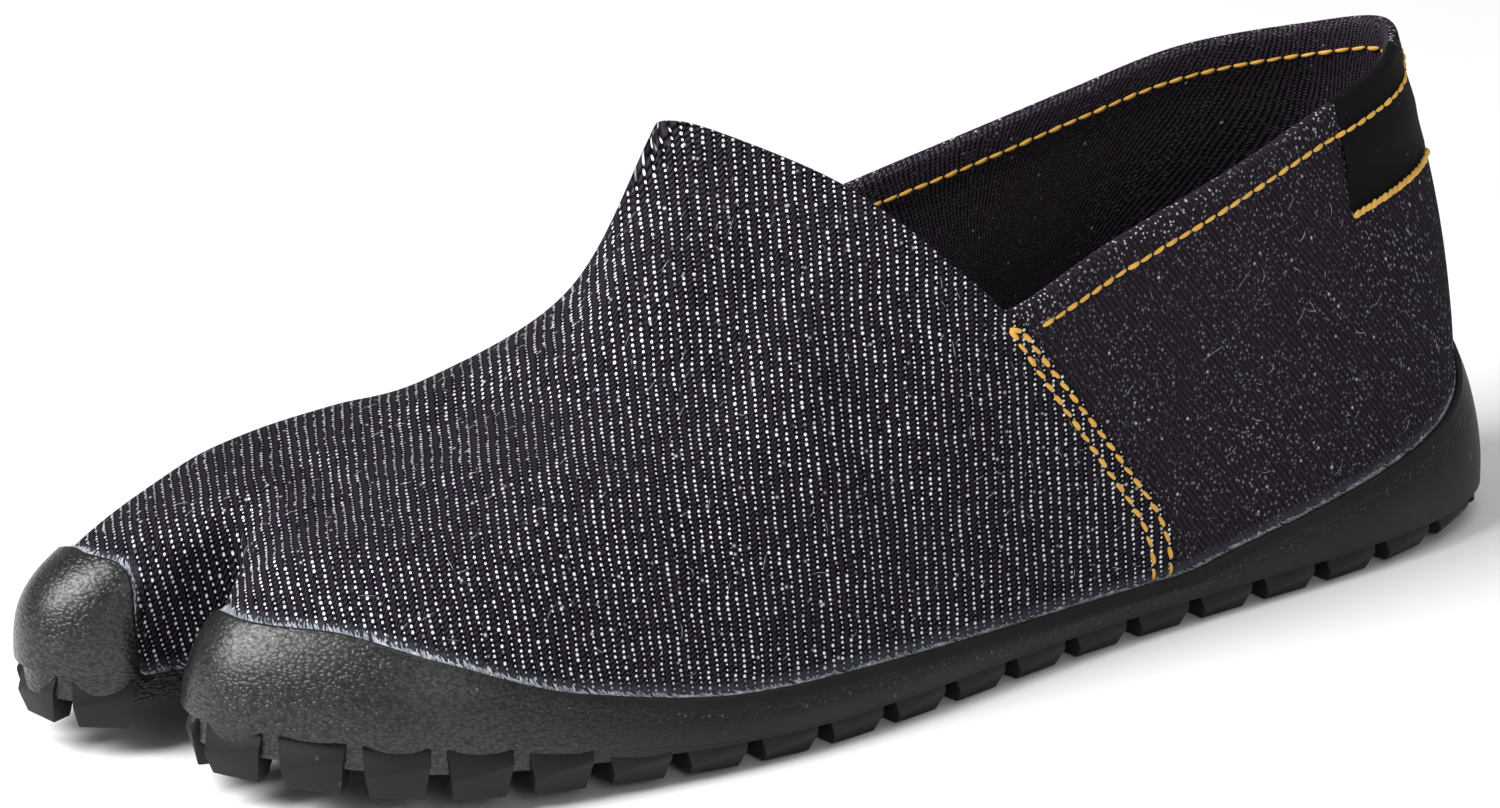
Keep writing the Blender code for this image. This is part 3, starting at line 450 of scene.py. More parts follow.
@dataclass
class Last:
    """Shape that upper, sole and footbed share, worked out from the three tables."""

    lug_height: float = 4.4
    slab: float = 2.0
    cup_wall: float = 2.3
    cup_edge: float = 1.3
    split_rim: float = 1.9
    cap_run_in: float = -1.6
    cap_drop: float = 3.0
    cap_round: float = 1.9
    cap_reach: tuple[float, float] = (3.0, 10.5)
    cap_crest: tuple[float, float] = (2.0, 7.0)
    cap_crest_past: float = 2.0
    cap_dip: tuple[float, float] = (1.4, 5.0)
    clearance: float = 0.3
    toe_spring: float = 6.5
    spring_start: float = 147.0
    spring_twist: float = 0.003
    spring_power: float = 1.5
    toe_tip: float = 257.0
    heel_spring: float = 3.4
    heel_spring_end: float = 42.0
    heel_back: float = -7.0
    arch_rise: float = 1.2
    arch_x: float = 96.0
    arch_spread: float = 28.0
    arch_line: float = 45.0
    arch_width: float = 60.0
    relax_from: float = 0.2
    relax_run: float = 0.4
    relax_width: float = 5.0
    relax_gain: float = 1.6
    bridge_from: float = 0.34
    bridge_run: float = 0.24
    curve_points: int = 96
    tangent_step: float = 0.05
    outline_points: int = 4000

    def __post_init__(self) -> None:
        """Work out the stations of the sections along the outline."""
        self.names = [row.name for row in OUTLINE]
        self.x, self.y = column(OUTLINE, "x"), column(OUTLINE, "y")
        gaps = np.hypot(np.roll(self.x, -1) - self.x, np.roll(self.y, -1) - self.y)
        self.knots = np.concatenate(([0.0], np.cumsum(gaps)[:-1]))
        self.period = float(gaps.sum())
        self.bed = self.lug_height + self.slab
        self.line, _ = self.outline(np.linspace(0.0, self.period, self.outline_points))
        self.middle = (self.line.min(0) + self.line.max(0)) * 0.5

    def station(self, name: str) -> float:
        """Distance along the outline at which a named section lies."""
        return float(self.knots[self.names.index(name)])

    def world(self, points: Array) -> Array:
        """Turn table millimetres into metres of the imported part's frame."""
        return (np.asarray(points, dtype=float) - np.array([self.middle[0], self.middle[1], 0.0])) * MM

    def spring(self, x: Any, y: Any) -> Array:
        """How far the sole has lifted off the floor towards the toe.

        Args:
            x: Places along the shoe.
            y: Places across the shoe.

        Returns:
            Heights above the floor.
        """
        share = (np.asarray(x, dtype=float) - self.spring_start) / (self.toe_tip - self.spring_start)
        twist = 1.0 + self.spring_twist * np.asarray(y, dtype=float)
        return np.clip(share, 0.0, None) ** self.spring_power * self.toe_spring * twist

    def tread_height(self, x: Any, y: Any) -> Array:
        """Height of the lugs' feet: toe spring, worn-back heel and the arch on the inner side.

        Args:
            x: Places along the shoe.
            y: Places across the shoe.

        Returns:
            Heights above the floor.
        """
        x = np.asarray(x, dtype=float)
        heel = np.clip((self.heel_spring_end - x) / (self.heel_spring_end - self.heel_back), 0.0, None) ** 2
        inner = np.clip((self.arch_line - np.asarray(y, dtype=float)) / self.arch_width, 0.0, 1.0)
        along = np.clip((x - self.arch_x) / self.arch_spread, -1.0, 1.0)
        arch = self.arch_rise * inner * np.cos(along * math.pi * 0.5) ** 2
        return self.spring(x, y) + heel * self.heel_spring + arch

    def outline(self, where: Array) -> tuple[Array, Array]:
        """Points and inward directions of the rubber's outline.

        Args:
            where: Stations along the outline.

        Returns:
            Plan points and unit directions.
        """
        px = closed_spline(self.knots, self.x, self.period, where)
        py = closed_spline(self.knots, self.y, self.period, where)
        dx = closed_spline(self.knots, self.x, self.period, where + self.tangent_step) - px
        dy = closed_spline(self.knots, self.y, self.period, where + self.tangent_step) - py
        return np.stack([px, py], 1), unit(np.stack([dy, -dx], 1))

    def flare(self, where: Array) -> Array:
        """Extra thickness of the rubber."""
        return closed_ease(self.knots, column(OUTLINE, "flare"), self.period, where)

    def cap_ends(self) -> tuple[float, float]:
        """Stations at which the two toe caps end inside the split."""
        return self.station("cap_end_outer"), self.station("toe1_outer") - self.cap_run_in

    def edge(self, where: Array) -> Array:
        """Height of the rubber's top edge, which drops to a low rim between the toe caps.

        Args:
            where: Stations along the outline.

        Returns:
            Heights above the floor.
        """
        height = closed_ease(self.knots, column(OUTLINE, "edge"), self.period, where)
        point, _ = self.outline(where)
        rim = self.spring(point[:, 0], point[:, 1]) + self.bed + self.split_rim
        first, second = self.cap_ends()
        past = np.clip((where - second + self.cap_reach[0]) / sum(self.cap_reach), 0.0, 1.0)
        rounded = (1.0 - (1.0 - past) ** self.cap_round) ** (1.0 / self.cap_round)
        crest, dip = self.station("toe1") + self.cap_crest_past, self.station("toe1_front_outer")
        height = height + self.cap_crest[0] * np.exp(-(((where - crest) / self.cap_crest[1]) ** 2))
        height = height - self.cap_dip[0] * np.exp(-(((where - dip) / self.cap_dip[1]) ** 2))
        low = smooth(where, first - self.cap_drop, first) * (1.0 - rounded)
        return height * (1.0 - low) + rim * low

    def cap_weight(self, where: Any) -> Array:
        """1 over the toe caps, fading to 0 along the sides."""
        rise = smooth(where, self.station("ball_outer"), self.station("toe4"))
        return rise * smooth(-where, -self.station("ball_inner"), -self.station("toe1_side"))

    def topline(self, where: Array) -> Array:
        """Point on the edge of the opening that a section runs up to.

        Args:
            where: Stations along the outline.

        Returns:
            Points in space.
        """
        count = len(TOPLINE)
        turned = np.mod(where, self.period)
        knots = np.append(self.knots, self.period)
        tops = np.append(column(OUTLINE, "top"), count)
        slope = np.diff(tops) / np.diff(knots)
        joined = np.concatenate(([slope[-1]], slope, [slope[0]]))
        tangent = 2.0 * joined[:-1] * joined[1:] / (joined[:-1] + joined[1:])
        low = np.clip(np.searchsorted(knots, turned, side="right") - 1, 0, len(tops) - 2)
        width = np.diff(knots)[low]
        b = (turned - knots[low]) / width
        place = hermite(b, width, (tops[low], tops[low + 1]), (tangent[low], tangent[low + 1]))
        index = np.arange(count, dtype=float)
        axes = [closed_ease(index, column(TOPLINE, axis), float(count), place) for axis in "xyz"]
        return np.stack(axes, 1)

    def sections(self, where: Array) -> Array:
        """Curves of the upper's outer face from the bed to the edge of the opening."""
        return self.relax(where, self.bridge(where, self.guided(where)))

    def bridge(self, where: Array, curves: Array) -> Array:
        """Let the split's sections run straight across from toe to toe above the valley.

        Args:
            where: Stations of the sections.
            curves: Their curves.

        Returns:
            The curves, closed over the valley.
        """
        ends = np.array([self.station("toe2_inner"), self.station("toe1_outer")])
        sides = self.guided(ends)
        share = np.clip((where - ends[0]) / (ends[1] - ends[0]), 0.0, 1.0)[:, None, None]
        across = sides[0] * (1.0 - share) + sides[1] * share
        height = np.linspace(0.0, 1.0, curves.shape[1])
        up = smooth(height, self.bridge_from, self.bridge_from + self.bridge_run)
        split = (where > ends[0]) & (where < ends[1])
        mix = up[None, :, None] * split[:, None, None]
        return curves * (1.0 - mix) + across * mix

    def guided(self, where: Array) -> Array:
        """Curves through the points of the tables.

        Args:
            where: Stations along the outline.

        Returns:
            Curves from the bed to the opening.
        """
        point, inward = self.outline(where)
        base = point + inward * (self.cup_wall + self.clearance + self.flare(where))[:, None]
        top = self.topline(where)
        knots = np.array([self.station(row.name) for row in PROFILES])
        q = [np.zeros(len(where))]
        z = [self.spring(base[:, 0], base[:, 1]) + self.bed + self.clearance]
        for number in "1234":
            q.append(closed_ease(knots, column(PROFILES, "q" + number), self.period, where))
            z.append(closed_ease(knots, column(PROFILES, "z" + number), self.period, where))
        q.append(np.ones(len(where)))
        z.append(top[:, 2])
        run = np.linalg.norm(top[:, :2] - base, axis=1)
        guide = np.stack([np.stack(q, 1) * run[:, None], np.stack(z, 1)], 2)
        drop = np.stack([np.zeros(len(where)), guide[:, 1, 1] - guide[:, 0, 1]], 1)
        first = guide[:, 0] - drop
        final = 2.0 * guide[:, -1] - guide[:, -2]
        curve = thread(np.concatenate([first[:, None], guide, final[:, None]], 1), self.curve_points)
        share = curve[:, :, 0] / run[:, None]
        plan = base[:, None, :] + (top[:, :2] - base)[:, None, :] * share[:, :, None]
        return np.concatenate([plan, curve[:, :, 1:2]], 2)

    def relax(self, where: Array, curves: Array) -> Array:
        """Even out the crowded sections over the toes so that they make one soft dome.

        Args:
            where: Stations of the sections.
            curves: Their curves.

        Returns:
            The evened curves.
        """
        count = curves.shape[1]
        mid = 0.5 * (self.station("toe3") + self.station("toe1_side"))
        reach = self.station("ball_inner") - mid
        near = np.clip(self.relax_gain * (1.0 - np.abs(where - mid) / reach), 0.0, 1.0)
        out = curves.copy()
        for j in range(count):
            up = np.clip((j / (count - 1.0) - self.relax_from) / self.relax_run, 0.0, 1.0)
            if up == 0.0:
                continue
            ring = curves[:, j]
            gap = np.linalg.norm(np.roll(ring, -1, 0) - ring, axis=1)
            along = np.concatenate(([0.0], np.cumsum(gap)[:-1]))
            apart = np.abs(along[:, None] - along[None, :])
            apart = np.minimum(apart, gap.sum() - apart)
            weight = np.exp(-0.5 * (apart / self.relax_width) ** 2) * (gap + np.roll(gap, 1))[None, :]
            soft = weight @ ring / weight.sum(1, keepdims=True)
            mix = (near * up * up * (3.0 - 2.0 * up))[:, None]
            out[:, j] = ring * (1.0 - mix) + soft * mix
        return out


@dataclass
class Shell:
    """The cloth's outer face as a fine sheet that can be read at any section and share of its height."""

    last: Last
    step: float = 1.5
    levels: int = 160
    seam_offsets: tuple[float, ...] = (-1.1, -0.45, -0.1, 0.08, 0.3, 0.8, 1.4)
    seam_clear: float = 1.7
    fold_low: tuple[float, float] = (2.0, 8.0)
    fold_high: tuple[float, float] = (3.0, 9.0)

    def __post_init__(self) -> None:
        """Work out the sheet, fold it and measure it."""
        self.where = self.stations()
        curves = self.last.sections(self.where)
        curves = curves + normals(curves) * self.folding(curves)[:, :, None]
        along = lengths(curves)
        self.total = along[:, -1]
        edge = self.last.edge(self.where)
        self.cup = np.array([np.interp(e, c[:, 2], a) for e, c, a in zip(edge, curves, along)])
        share = np.linspace(0.0, 1.0, self.levels)
        self.sheet = pick(curves, along, self.total[:, None] * share[None, :])
        self.outward = normals(self.sheet)

    def stations(self) -> Array:
        """Sections of the sheet: even steps, closer beside the side seams."""
        seams = [self.last.station("seam_outer"), self.last.station("seam_inner")]
        close = [seams[0] + offset for offset in self.seam_offsets]
        close += [seams[1] - offset for offset in self.seam_offsets]
        count = int(round(self.last.period / self.step))
        even = np.arange(count) * self.last.period / count
        keep = [s for s in even if min(abs(s - seam) for seam in seams) > self.seam_clear]
        return np.array(sorted(keep + close))

    def folding(self, curves: Array) -> Array:
        """How far the folds lift each point of the sheet, faded out at its rubber edge and its opening.

        Args:
            curves: The sheet's sections.

        Returns:
            Heights off the sheet.
        """
        plan = curves[:, :, :2]
        along = lengths(curves)
        edge = self.last.edge(self.where)[:, None]
        low = smooth(curves[:, :, 2] - edge, *self.fold_low)
        high = smooth(along[:, -1:] - along, *self.fold_high)
        lift = np.zeros(plan.shape[:2])
        for fold in FOLDS:
            line = np.array(fold.line)
            best = np.full(plan.shape[:2], np.inf)
            for a, b in zip(line[:-1], line[1:]):
                span = b - a
                t = np.clip(((plan - a) @ span) / (span @ span), 0.0, 1.0)
                best = np.minimum(best, np.linalg.norm(plan - (a + t[:, :, None] * span), axis=2))
            lift += fold.depth * np.exp(-((best / fold.width) ** 2))
        return lift * low * high * self.in_vamp(self.where)[:, None]

    def in_vamp(self, where: Array) -> Array:
        """Whether sections lie in the front panel, between the side seams."""
        return (where > self.last.station("seam_outer")) & (where < self.last.station("seam_inner"))

    def ahead(self, where: Array) -> Array:
        """Distance of a section into the front panel from the nearer side seam, along the outline."""
        return np.minimum(where - self.last.station("seam_outer"), self.last.station("seam_inner") - where)

    def measure(self, where: Array) -> tuple[Array, Array]:
        """Whole height of sections along the cloth, and the height at which the rubber ends.

        Args:
            where: Stations along the outline.

        Returns:
            Both heights, along the cloth from its foot.
        """
        turned = np.mod(where, self.last.period)
        total = np.interp(turned, self.where, self.total, period=self.last.period)
        return total, np.interp(turned, self.where, self.cup, period=self.last.period)

    def spot(self, where: Array, share: Array) -> tuple[Array, Array]:
        """Points and outward directions of the sheet.

        Args:
            where: Stations along the outline, any shape.
            share: Share of the way from the bed to the opening, same shape.

        Returns:
            Points and unit directions, with a last axis of three.
        """
        where, share = np.broadcast_arrays(np.asarray(where, float), np.asarray(share, float))
        low, high, _, past = spans(self.where, self.last.period, where)
        b = past[..., None]
        level = np.clip(share, 0.0, 1.0) * (self.levels - 1)
        row = np.clip(level.astype(int), 0, self.levels - 2)
        t = (level - row)[..., None]

        def read(grid: Array) -> Array:
            """Mix the four neighbours in a grid."""
            first, second = (grid[side, row] * (1.0 - t) + grid[side, row + 1] * t for side in (low, high))
            return first * (1.0 - b) + second * b

        return read(self.sheet), unit(read(self.outward))

    def raised(self, where: Array, share: Array, lift: Array, push: Array) -> tuple[Array, Array]:
        """Points lifted off the sheet and pushed on past its edge.

        Args:
            where: Stations along the outline, rows by columns.
            share: Share of the way from the bed to the opening, same shape.
            lift: Distance along the outward direction.
            push: Distance up along the sheet.

        Returns:
            Points and the sheet's outward directions.
        """
        points, out = self.spot(where, share)
        above, _ = self.spot(where, np.minimum(share + SHARE_STEP, 1.0))
        below, _ = self.spot(where, share - SHARE_STEP)
        return points + out * lift[:, :, None] + unit(above - below) * push[:, :, None], out


@dataclass
class Pattern:
    """Flat pattern of one panel: where the points of the sheet lie on the uncut cloth.

    heading is the normal of the planes that the weave's lines follow, lean how far it tips towards
    the toes, and lean_run the lengths between which it does so. least is the smallest rate across
    the lines. lost_run holds the rates between which the flecks are lost. crown is painted shade on
    top: how much fainter the flecks are on cloth that faces up, between the upward shares held in
    the field after it.
    """

    shell: Shell
    start: float
    end: float
    columns: int
    heading: tuple[float, float, float]
    lean: tuple[float, float, float] = (0.0, 0.0, 0.0)
    lean_run: tuple[float, float] = (150.0, 230.0)
    planar: bool = False
    least: float = 1.0
    rows: int = 20
    tail: float = 0.06
    lost_run: tuple[float, float] = (0.62, 0.32)
    # Painted shade: flecks fainter where the cloth faces up, darkening the top.
    crown: float = 0.4
    top_shade_run: tuple[float, float] = (0.7, 0.95)

    def __post_init__(self) -> None:
        """Lay the panel flat and keep how far it departs from the planes."""
        where = np.linspace(self.start, self.end, self.columns)
        share = np.linspace(0.0, 1.0, self.rows)
        points, _ = self.shell.spot(where[:, None], share[None, :])
        self.flat = flatten(points, self.normal(points), self.least)
        if self.planar:
            self.flat[:, :, 0] -= self.across(points)

    def read(self, where: Array, share: Array) -> Array:
        """Flat places at stations and shares of the height.

        Args:
            where: Stations along the outline.
            share: Shares of the height, same shape.

        Returns:
            Places in millimetres, with a last axis of two.
        """
        i = np.clip((where - self.start) / (self.end - self.start), 0.0, 1.0) * (self.columns - 1)
        j = np.clip(share, 0.0, 1.0) * (self.rows - 1)
        i0 = np.clip(i.astype(int), 0, self.columns - 2)
        j0 = np.clip(j.astype(int), 0, self.rows - 2)
        b, t = (i - i0)[..., None], (j - j0)[..., None]
        low = self.flat[i0, j0] * (1.0 - t) + self.flat[i0, j0 + 1] * t
        high = self.flat[i0 + 1, j0] * (1.0 - t) + self.flat[i0 + 1, j0 + 1] * t
        return low * (1.0 - b) + high * b

    def normal(self, points: Array) -> Array:
        """Normals of the planes that the weave's lines follow at points in space."""
        tip = smooth(points[..., :1], *self.lean_run)
        return np.array(self.heading) + tip * np.array(self.lean)

    def across(self, points: Array) -> Array:
        """Distance of points in space across the planes that the weave's lines follow."""
        return np.sum(self.normal(points) * points, -1)

    def place(self, where: Array, reach: Array, points: Array) -> Array:
        """Flat places of cloth that may run on over the edge.

        Args:
            where: Stations along the outline.
            reach: Distance up the cloth from its foot, same shape.
            points: The cloth's points in space.

        Returns:
            Places in millimetres, with a last axis of two.
        """
        turned = np.where(where > self.end + 1.0, where - self.shell.last.period, where)
        total, _ = self.shell.measure(where)
        top = self.read(turned, np.ones_like(turned))
        onward = unit(top - self.read(turned, np.full_like(turned, 1.0 - self.tail)))
        beyond = np.maximum(reach - total, 0.0)
        flat = self.read(turned, reach / total) + onward * beyond[..., None]
        if self.planar:
            flat[..., 0] += self.across(points)
        return flat

    def faint(self, out: Array) -> Array:
        """How far flecks fade: fully where cloth faces along the planes' normal, partly where it faces up as
        painted shade on the top.

        Args:
            out: Outward directions of the cloth.

        Returns:
            Shares from 0 to 1.
        """
        rate = np.linalg.norm(np.cross(out, unit(np.array(self.heading))), axis=-1)
        lost = smooth(-rate, -self.lost_run[0], -self.lost_run[1])
        # Painted shade: flecks fade on cloth that faces up, so its top is darker.
        return np.maximum(lost, self.crown * smooth(out[..., 2], *self.top_shade_run))


class Graph:
    """A short way to lay out shader nodes."""

    def __init__(self, tree: bpy.types.NodeTree) -> None:
        """Keep the tree that nodes are added to."""
        self.tree = tree

    def put(self, socket: Socket, value: Value) -> None:
        """Link a socket to another, or set its value."""
        if isinstance(value, bpy.types.NodeSocket):
            self.tree.links.new(value, socket)
        else:
            socket.default_value = value

    def node(self, kind: str, feeds: Optional[dict[Any, Value]] = None, **settings: Any) -> bpy.types.Node:
        """Add a node.

        Args:
            kind: Type of the node.
            feeds: Values or sockets for its inputs, by name or number.
            settings: Its properties, set first because they choose its sockets.

        Returns:
            The node.
        """
        made = self.tree.nodes.new(kind)
        for name, value in settings.items():
            setattr(made, name, value)
        for key, value in (feeds or {}).items():
            self.put(made.inputs[key], value)
        return made

    def math(self, operation: str, a: Value, b: Value = 0.0) -> Socket:
        """Add a math node and return its result."""
        return self.node("ShaderNodeMath", {0: a, 1: b}, operation=operation).outputs[0]

    def plus(self, a: Value, b: Value) -> Socket:
        """Sum of two values."""
        return self.math("ADD", a, b)

    def minus(self, a: Value, b: Value) -> Socket:
        """Difference of two values."""
        return self.math("SUBTRACT", a, b)

    def times(self, a: Value, b: Value) -> Socket:
        """Product of two values."""
        return self.math("MULTIPLY", a, b)

    def fade(self, value: Value, low: Value, high: Value) -> Socket:
        """Ease a value from 0 at low to 1 at high."""
        feeds = {0: value, 1: low, 2: high}
        return self.node("ShaderNodeMapRange", feeds, interpolation_type="SMOOTHSTEP").outputs[0]

    def vector(self, operation: str, a: Value, b: Value) -> Socket:
        """Add a vector math node and return its vector."""
        feeds = {0: a, "Scale" if operation == "SCALE" else 1: b}
        return self.node("ShaderNodeVectorMath", feeds, operation=operation).outputs[0]

    def split(self, vector: Value) -> tuple[Socket, ...]:
        """Take a vector apart."""
        return tuple(self.node("ShaderNodeSeparateXYZ", {0: vector}).outputs)

    def join(self, x: Value, y: Value, z: Value = 0.0) -> Socket:
        """Put a vector together."""
        return self.node("ShaderNodeCombineXYZ", {0: x, 1: y, 2: z}).outputs[0]

    def noise(self, vector: Value, scale: float, detail: float = 2.0, rough: float = 0.5) -> bpy.types.Node:
        """Add a noise texture."""
        feeds = {"Vector": vector, "Scale": scale, "Detail": detail, "Roughness": rough}
        return self.node("ShaderNodeTexNoise", feeds)

    def mix(self, factor: Value, a: Value, b: Value) -> Socket:
        """Mix two colours."""
        a, b = ((*colour, 1.0) if isinstance(colour, tuple) else colour for colour in (a, b))
        return self.node("ShaderNodeMix", {0: factor, 6: a, 7: b}, data_type="RGBA").outputs[2]

    def attribute(self, name: str) -> Socket:
        """Read a number kept on the mesh."""
        return self.node("ShaderNodeAttribute", attribute_name=name).outputs["Fac"]

    def cloth(self) -> Socket:
        """Flat place of the cloth in millimetres, from the piece's own UV map."""
        made = self.node("ShaderNodeUVMap", uv_map="cloth")
        return self.vector("SCALE", made.outputs[0], 1.0 / UV_SCALE)

    def place(self) -> Socket:
        """Place on the piece in millimetres."""
        made = self.node("ShaderNodeTexCoord")
        return self.vector("SCALE", made.outputs["Object"], 1.0 / MM)

    def bump(self, height: Value, strength: float, distance: float) -> Socket:
        """Turn a height into a normal; distance is in millimetres."""
        feeds = {"Strength": strength, "Distance": distance * MM, "Height": height}
        return self.node("ShaderNodeBump", feeds).outputs[0]

    def group(self, tree: bpy.types.NodeTree, **values: Value) -> bpy.types.Node:
        """Place a node group with its own values."""
        feeds = {name.replace("_", " "): value for name, value in values.items()}
        return self.node("ShaderNodeGroup", feeds, node_tree=tree)


def new_group(name: str, inputs: dict[str, Any],
              outputs: Sequence[str]) -> tuple[Graph, dict[str, Socket], bpy.types.Node]:
    """Start a shader node group.

    Args:
        name: Name of the group.
        inputs: Input names with their defaults; a tuple makes a vector socket.
        outputs: Names of the number outputs.

    Returns:
        The group's graph, its input sockets by name and its output node.
    """
    tree = bpy.data.node_groups.new(name, "ShaderNodeTree")
    for label, value in inputs.items():
        kind = "NodeSocketVector" if isinstance(value, tuple) else "NodeSocketFloat"
        made = tree.interface.new_socket(name=label, in_out="INPUT", socket_type=kind)
        made.default_value = value
    for label in outputs:
        tree.interface.new_socket(name=label, in_out="OUTPUT", socket_type="NodeSocketFloat")
    graph = Graph(tree)
    source = graph.node("NodeGroupInput")
    return graph, {label: source.outputs[label] for label in inputs}, graph.node("NodeGroupOutput")


def twill_group() -> bpy.types.NodeTree:
    """Twill weave: pale weft flecks in slanting lines over dark warp ribs.

    Returns:
        A group that gives the flecks' mask, the ribs' height and the warp's fine hatching.
    """
    graph, given, out = new_group(
        "twill",
        {"Place": (0.0, 0.0, 0.0), "Line Pitch": 1.5, "Dot Pitch": 0.84, "Angle": 0.0, "Wobble": 0.6,
         "Fleck Size": 0.25, "Density": 0.8, "Softness": 0.3, "Jitter": 0.14},
        ("Fleck", "Rib", "Warp"),
    )
    drift = graph.vector("SUBTRACT", graph.noise(given["Place"], 0.11).outputs["Color"], (0.5, 0.5, 0.5))
    moved = graph.vector("ADD", given["Place"], graph.vector("SCALE", drift, given["Wobble"]))
    turn = {"Vector": moved, "Angle": given["Angle"]}
    turned = graph.node("ShaderNodeVectorRotate", turn, rotation_type="Z_AXIS")
    x, y, _ = graph.split(turned.outputs[0])
    across = graph.math("DIVIDE", x, given["Line Pitch"])
    row = graph.math("FLOOR", across)
    off = graph.minus(graph.minus(across, row), 0.5)
    shift = graph.node("ShaderNodeTexWhiteNoise", {"W": row}, noise_dimensions="1D")
    along = graph.plus(graph.math("DIVIDE", y, given["Dot Pitch"]), shift.outputs["Value"])
    cell = graph.math("FLOOR", along)
    tail = graph.minus(graph.minus(along, cell), 0.5)
    chance = graph.node("ShaderNodeTexWhiteNoise", {"Vector": graph.join(row, cell)}, noise_dimensions="2D")
    red, green, blue = graph.split(chance.outputs["Color"])
    wide = graph.plus(off, graph.times(graph.minus(red, 0.5), given["Jitter"]))
    high = graph.plus(tail, graph.times(graph.minus(green, 0.5), given["Jitter"]))
    dx = graph.times(wide, given["Line Pitch"])
    dy = graph.times(graph.times(high, given["Dot Pitch"]), 0.9)
    reach = graph.math("SQRT", graph.plus(graph.times(dx, dx), graph.times(dy, dy)))
    size = graph.times(given["Fleck Size"],
                      graph.plus(0.6, graph.times(chance.outputs["Value"], 0.7)))
    far = graph.math("DIVIDE", reach, size)
    spot = graph.fade(far, graph.plus(1.0, given["Softness"]), graph.minus(1.0, given["Softness"]))
    floor = graph.minus(1.0, given["Density"])
    shown = graph.fade(blue, graph.minus(floor, 0.2), graph.plus(floor, 0.2))
    graph.put(out.inputs["Fleck"], graph.times(spot, shown))
    wave = graph.math("COSINE", graph.times(across, math.tau))
    graph.put(out.inputs["Rib"], graph.plus(0.5, graph.times(wave, 0.5)))
    slant = graph.plus(along, graph.times(across, 2.0))
    hatch = graph.math("SINE", graph.times(slant, math.tau))
    graph.put(out.inputs["Warp"], graph.plus(0.5, graph.times(hatch, 0.5)))
    return graph.tree


def wear_group() -> bpy.types.NodeTree:
    """Handling marks: broad soft mottling and fine specks of lint or dust.

    Returns:
        A group that gives the mottling and the specks as masks.
    """
    graph, given, out = new_group(
        "wear", {"Place": (0.0, 0.0, 0.0), "Patch": 14.0, "Speck": 1.2, "Amount": 0.5}, ("Mottle", "Specks"))
    patch = graph.vector("SCALE", given["Place"], graph.math("DIVIDE", 1.0, given["Patch"]))
    graph.put(out.inputs["Mottle"], graph.fade(graph.noise(patch, 1.0, 3.0, 0.55).outputs["Fac"], 0.3, 0.7))
    fine = graph.vector("SCALE", given["Place"], graph.math("DIVIDE", 1.0, given["Speck"]))
    cells = graph.node("ShaderNodeTexVoronoi", {"Vector": fine, "Scale": 1.0}, feature="F1")
    near = graph.fade(cells.outputs["Distance"], 0.2, 0.05)
    chosen = graph.fade(graph.split(cells.outputs["Color"])[0], graph.minus(1.0, given["Amount"]), 1.0)
    graph.put(out.inputs["Specks"], graph.times(near, chosen))
    return graph.tree


def grain_group() -> bpy.types.NodeTree:
    """Moulded grain: shallow pebbles drawn out sideways.

    Returns:
        A group that gives the grain's height.
    """
    graph, given, out = new_group(
        "grain", {"Place": (0.0, 0.0, 0.0), "Size": 1.0, "Stretch": 1.6}, ("Height",))
    x, y, z = graph.split(given["Place"])
    squeezed = graph.join(x, y, graph.times(z, given["Stretch"]))
    scaled = graph.vector("SCALE", squeezed, graph.math("DIVIDE", 1.0, given["Size"]))
    bent = graph.vector("ADD", scaled, graph.vector("SCALE", graph.noise(scaled, 0.6).outputs["Color"], 0.8))
    pebble = {"Vector": bent, "Scale": 1.0, "Smoothness": 0.6}
    cells = graph.node("ShaderNodeTexVoronoi", pebble, feature="SMOOTH_F1")
    lumps = graph.minus(1.0, cells.outputs["Distance"])
    fine = graph.times(graph.noise(scaled, 1.7, 0.0).outputs["Fac"], 0.35)
    graph.put(out.inputs["Height"], graph.plus(lumps, fine))
    return graph.tree


class Groups:
    """The node groups, each built once."""

    def __init__(self) -> None:
        """Build the groups."""
        self.twill = twill_group()
        self.wear = wear_group()
        self.grain = grain_group()


def new_material(name: str, **sockets: Any) -> tuple[bpy.types.Material, Graph, bpy.types.Node]:
    """Start a material with constants set on its shader.

    Args:
        name: Name of the material.
        sockets: Values for the shader's sockets, with underscores for spaces.

    Returns:
        The material, its graph and its Principled shader.
    """
    material = bpy.data.materials.new(name)
    material.use_nodes = True
    shader = material.node_tree.nodes["Principled BSDF"]
    for label, value in sockets.items():
        shader.inputs[label.replace("_", " ")].default_value = value
    return material, Graph(material.node_tree), shader


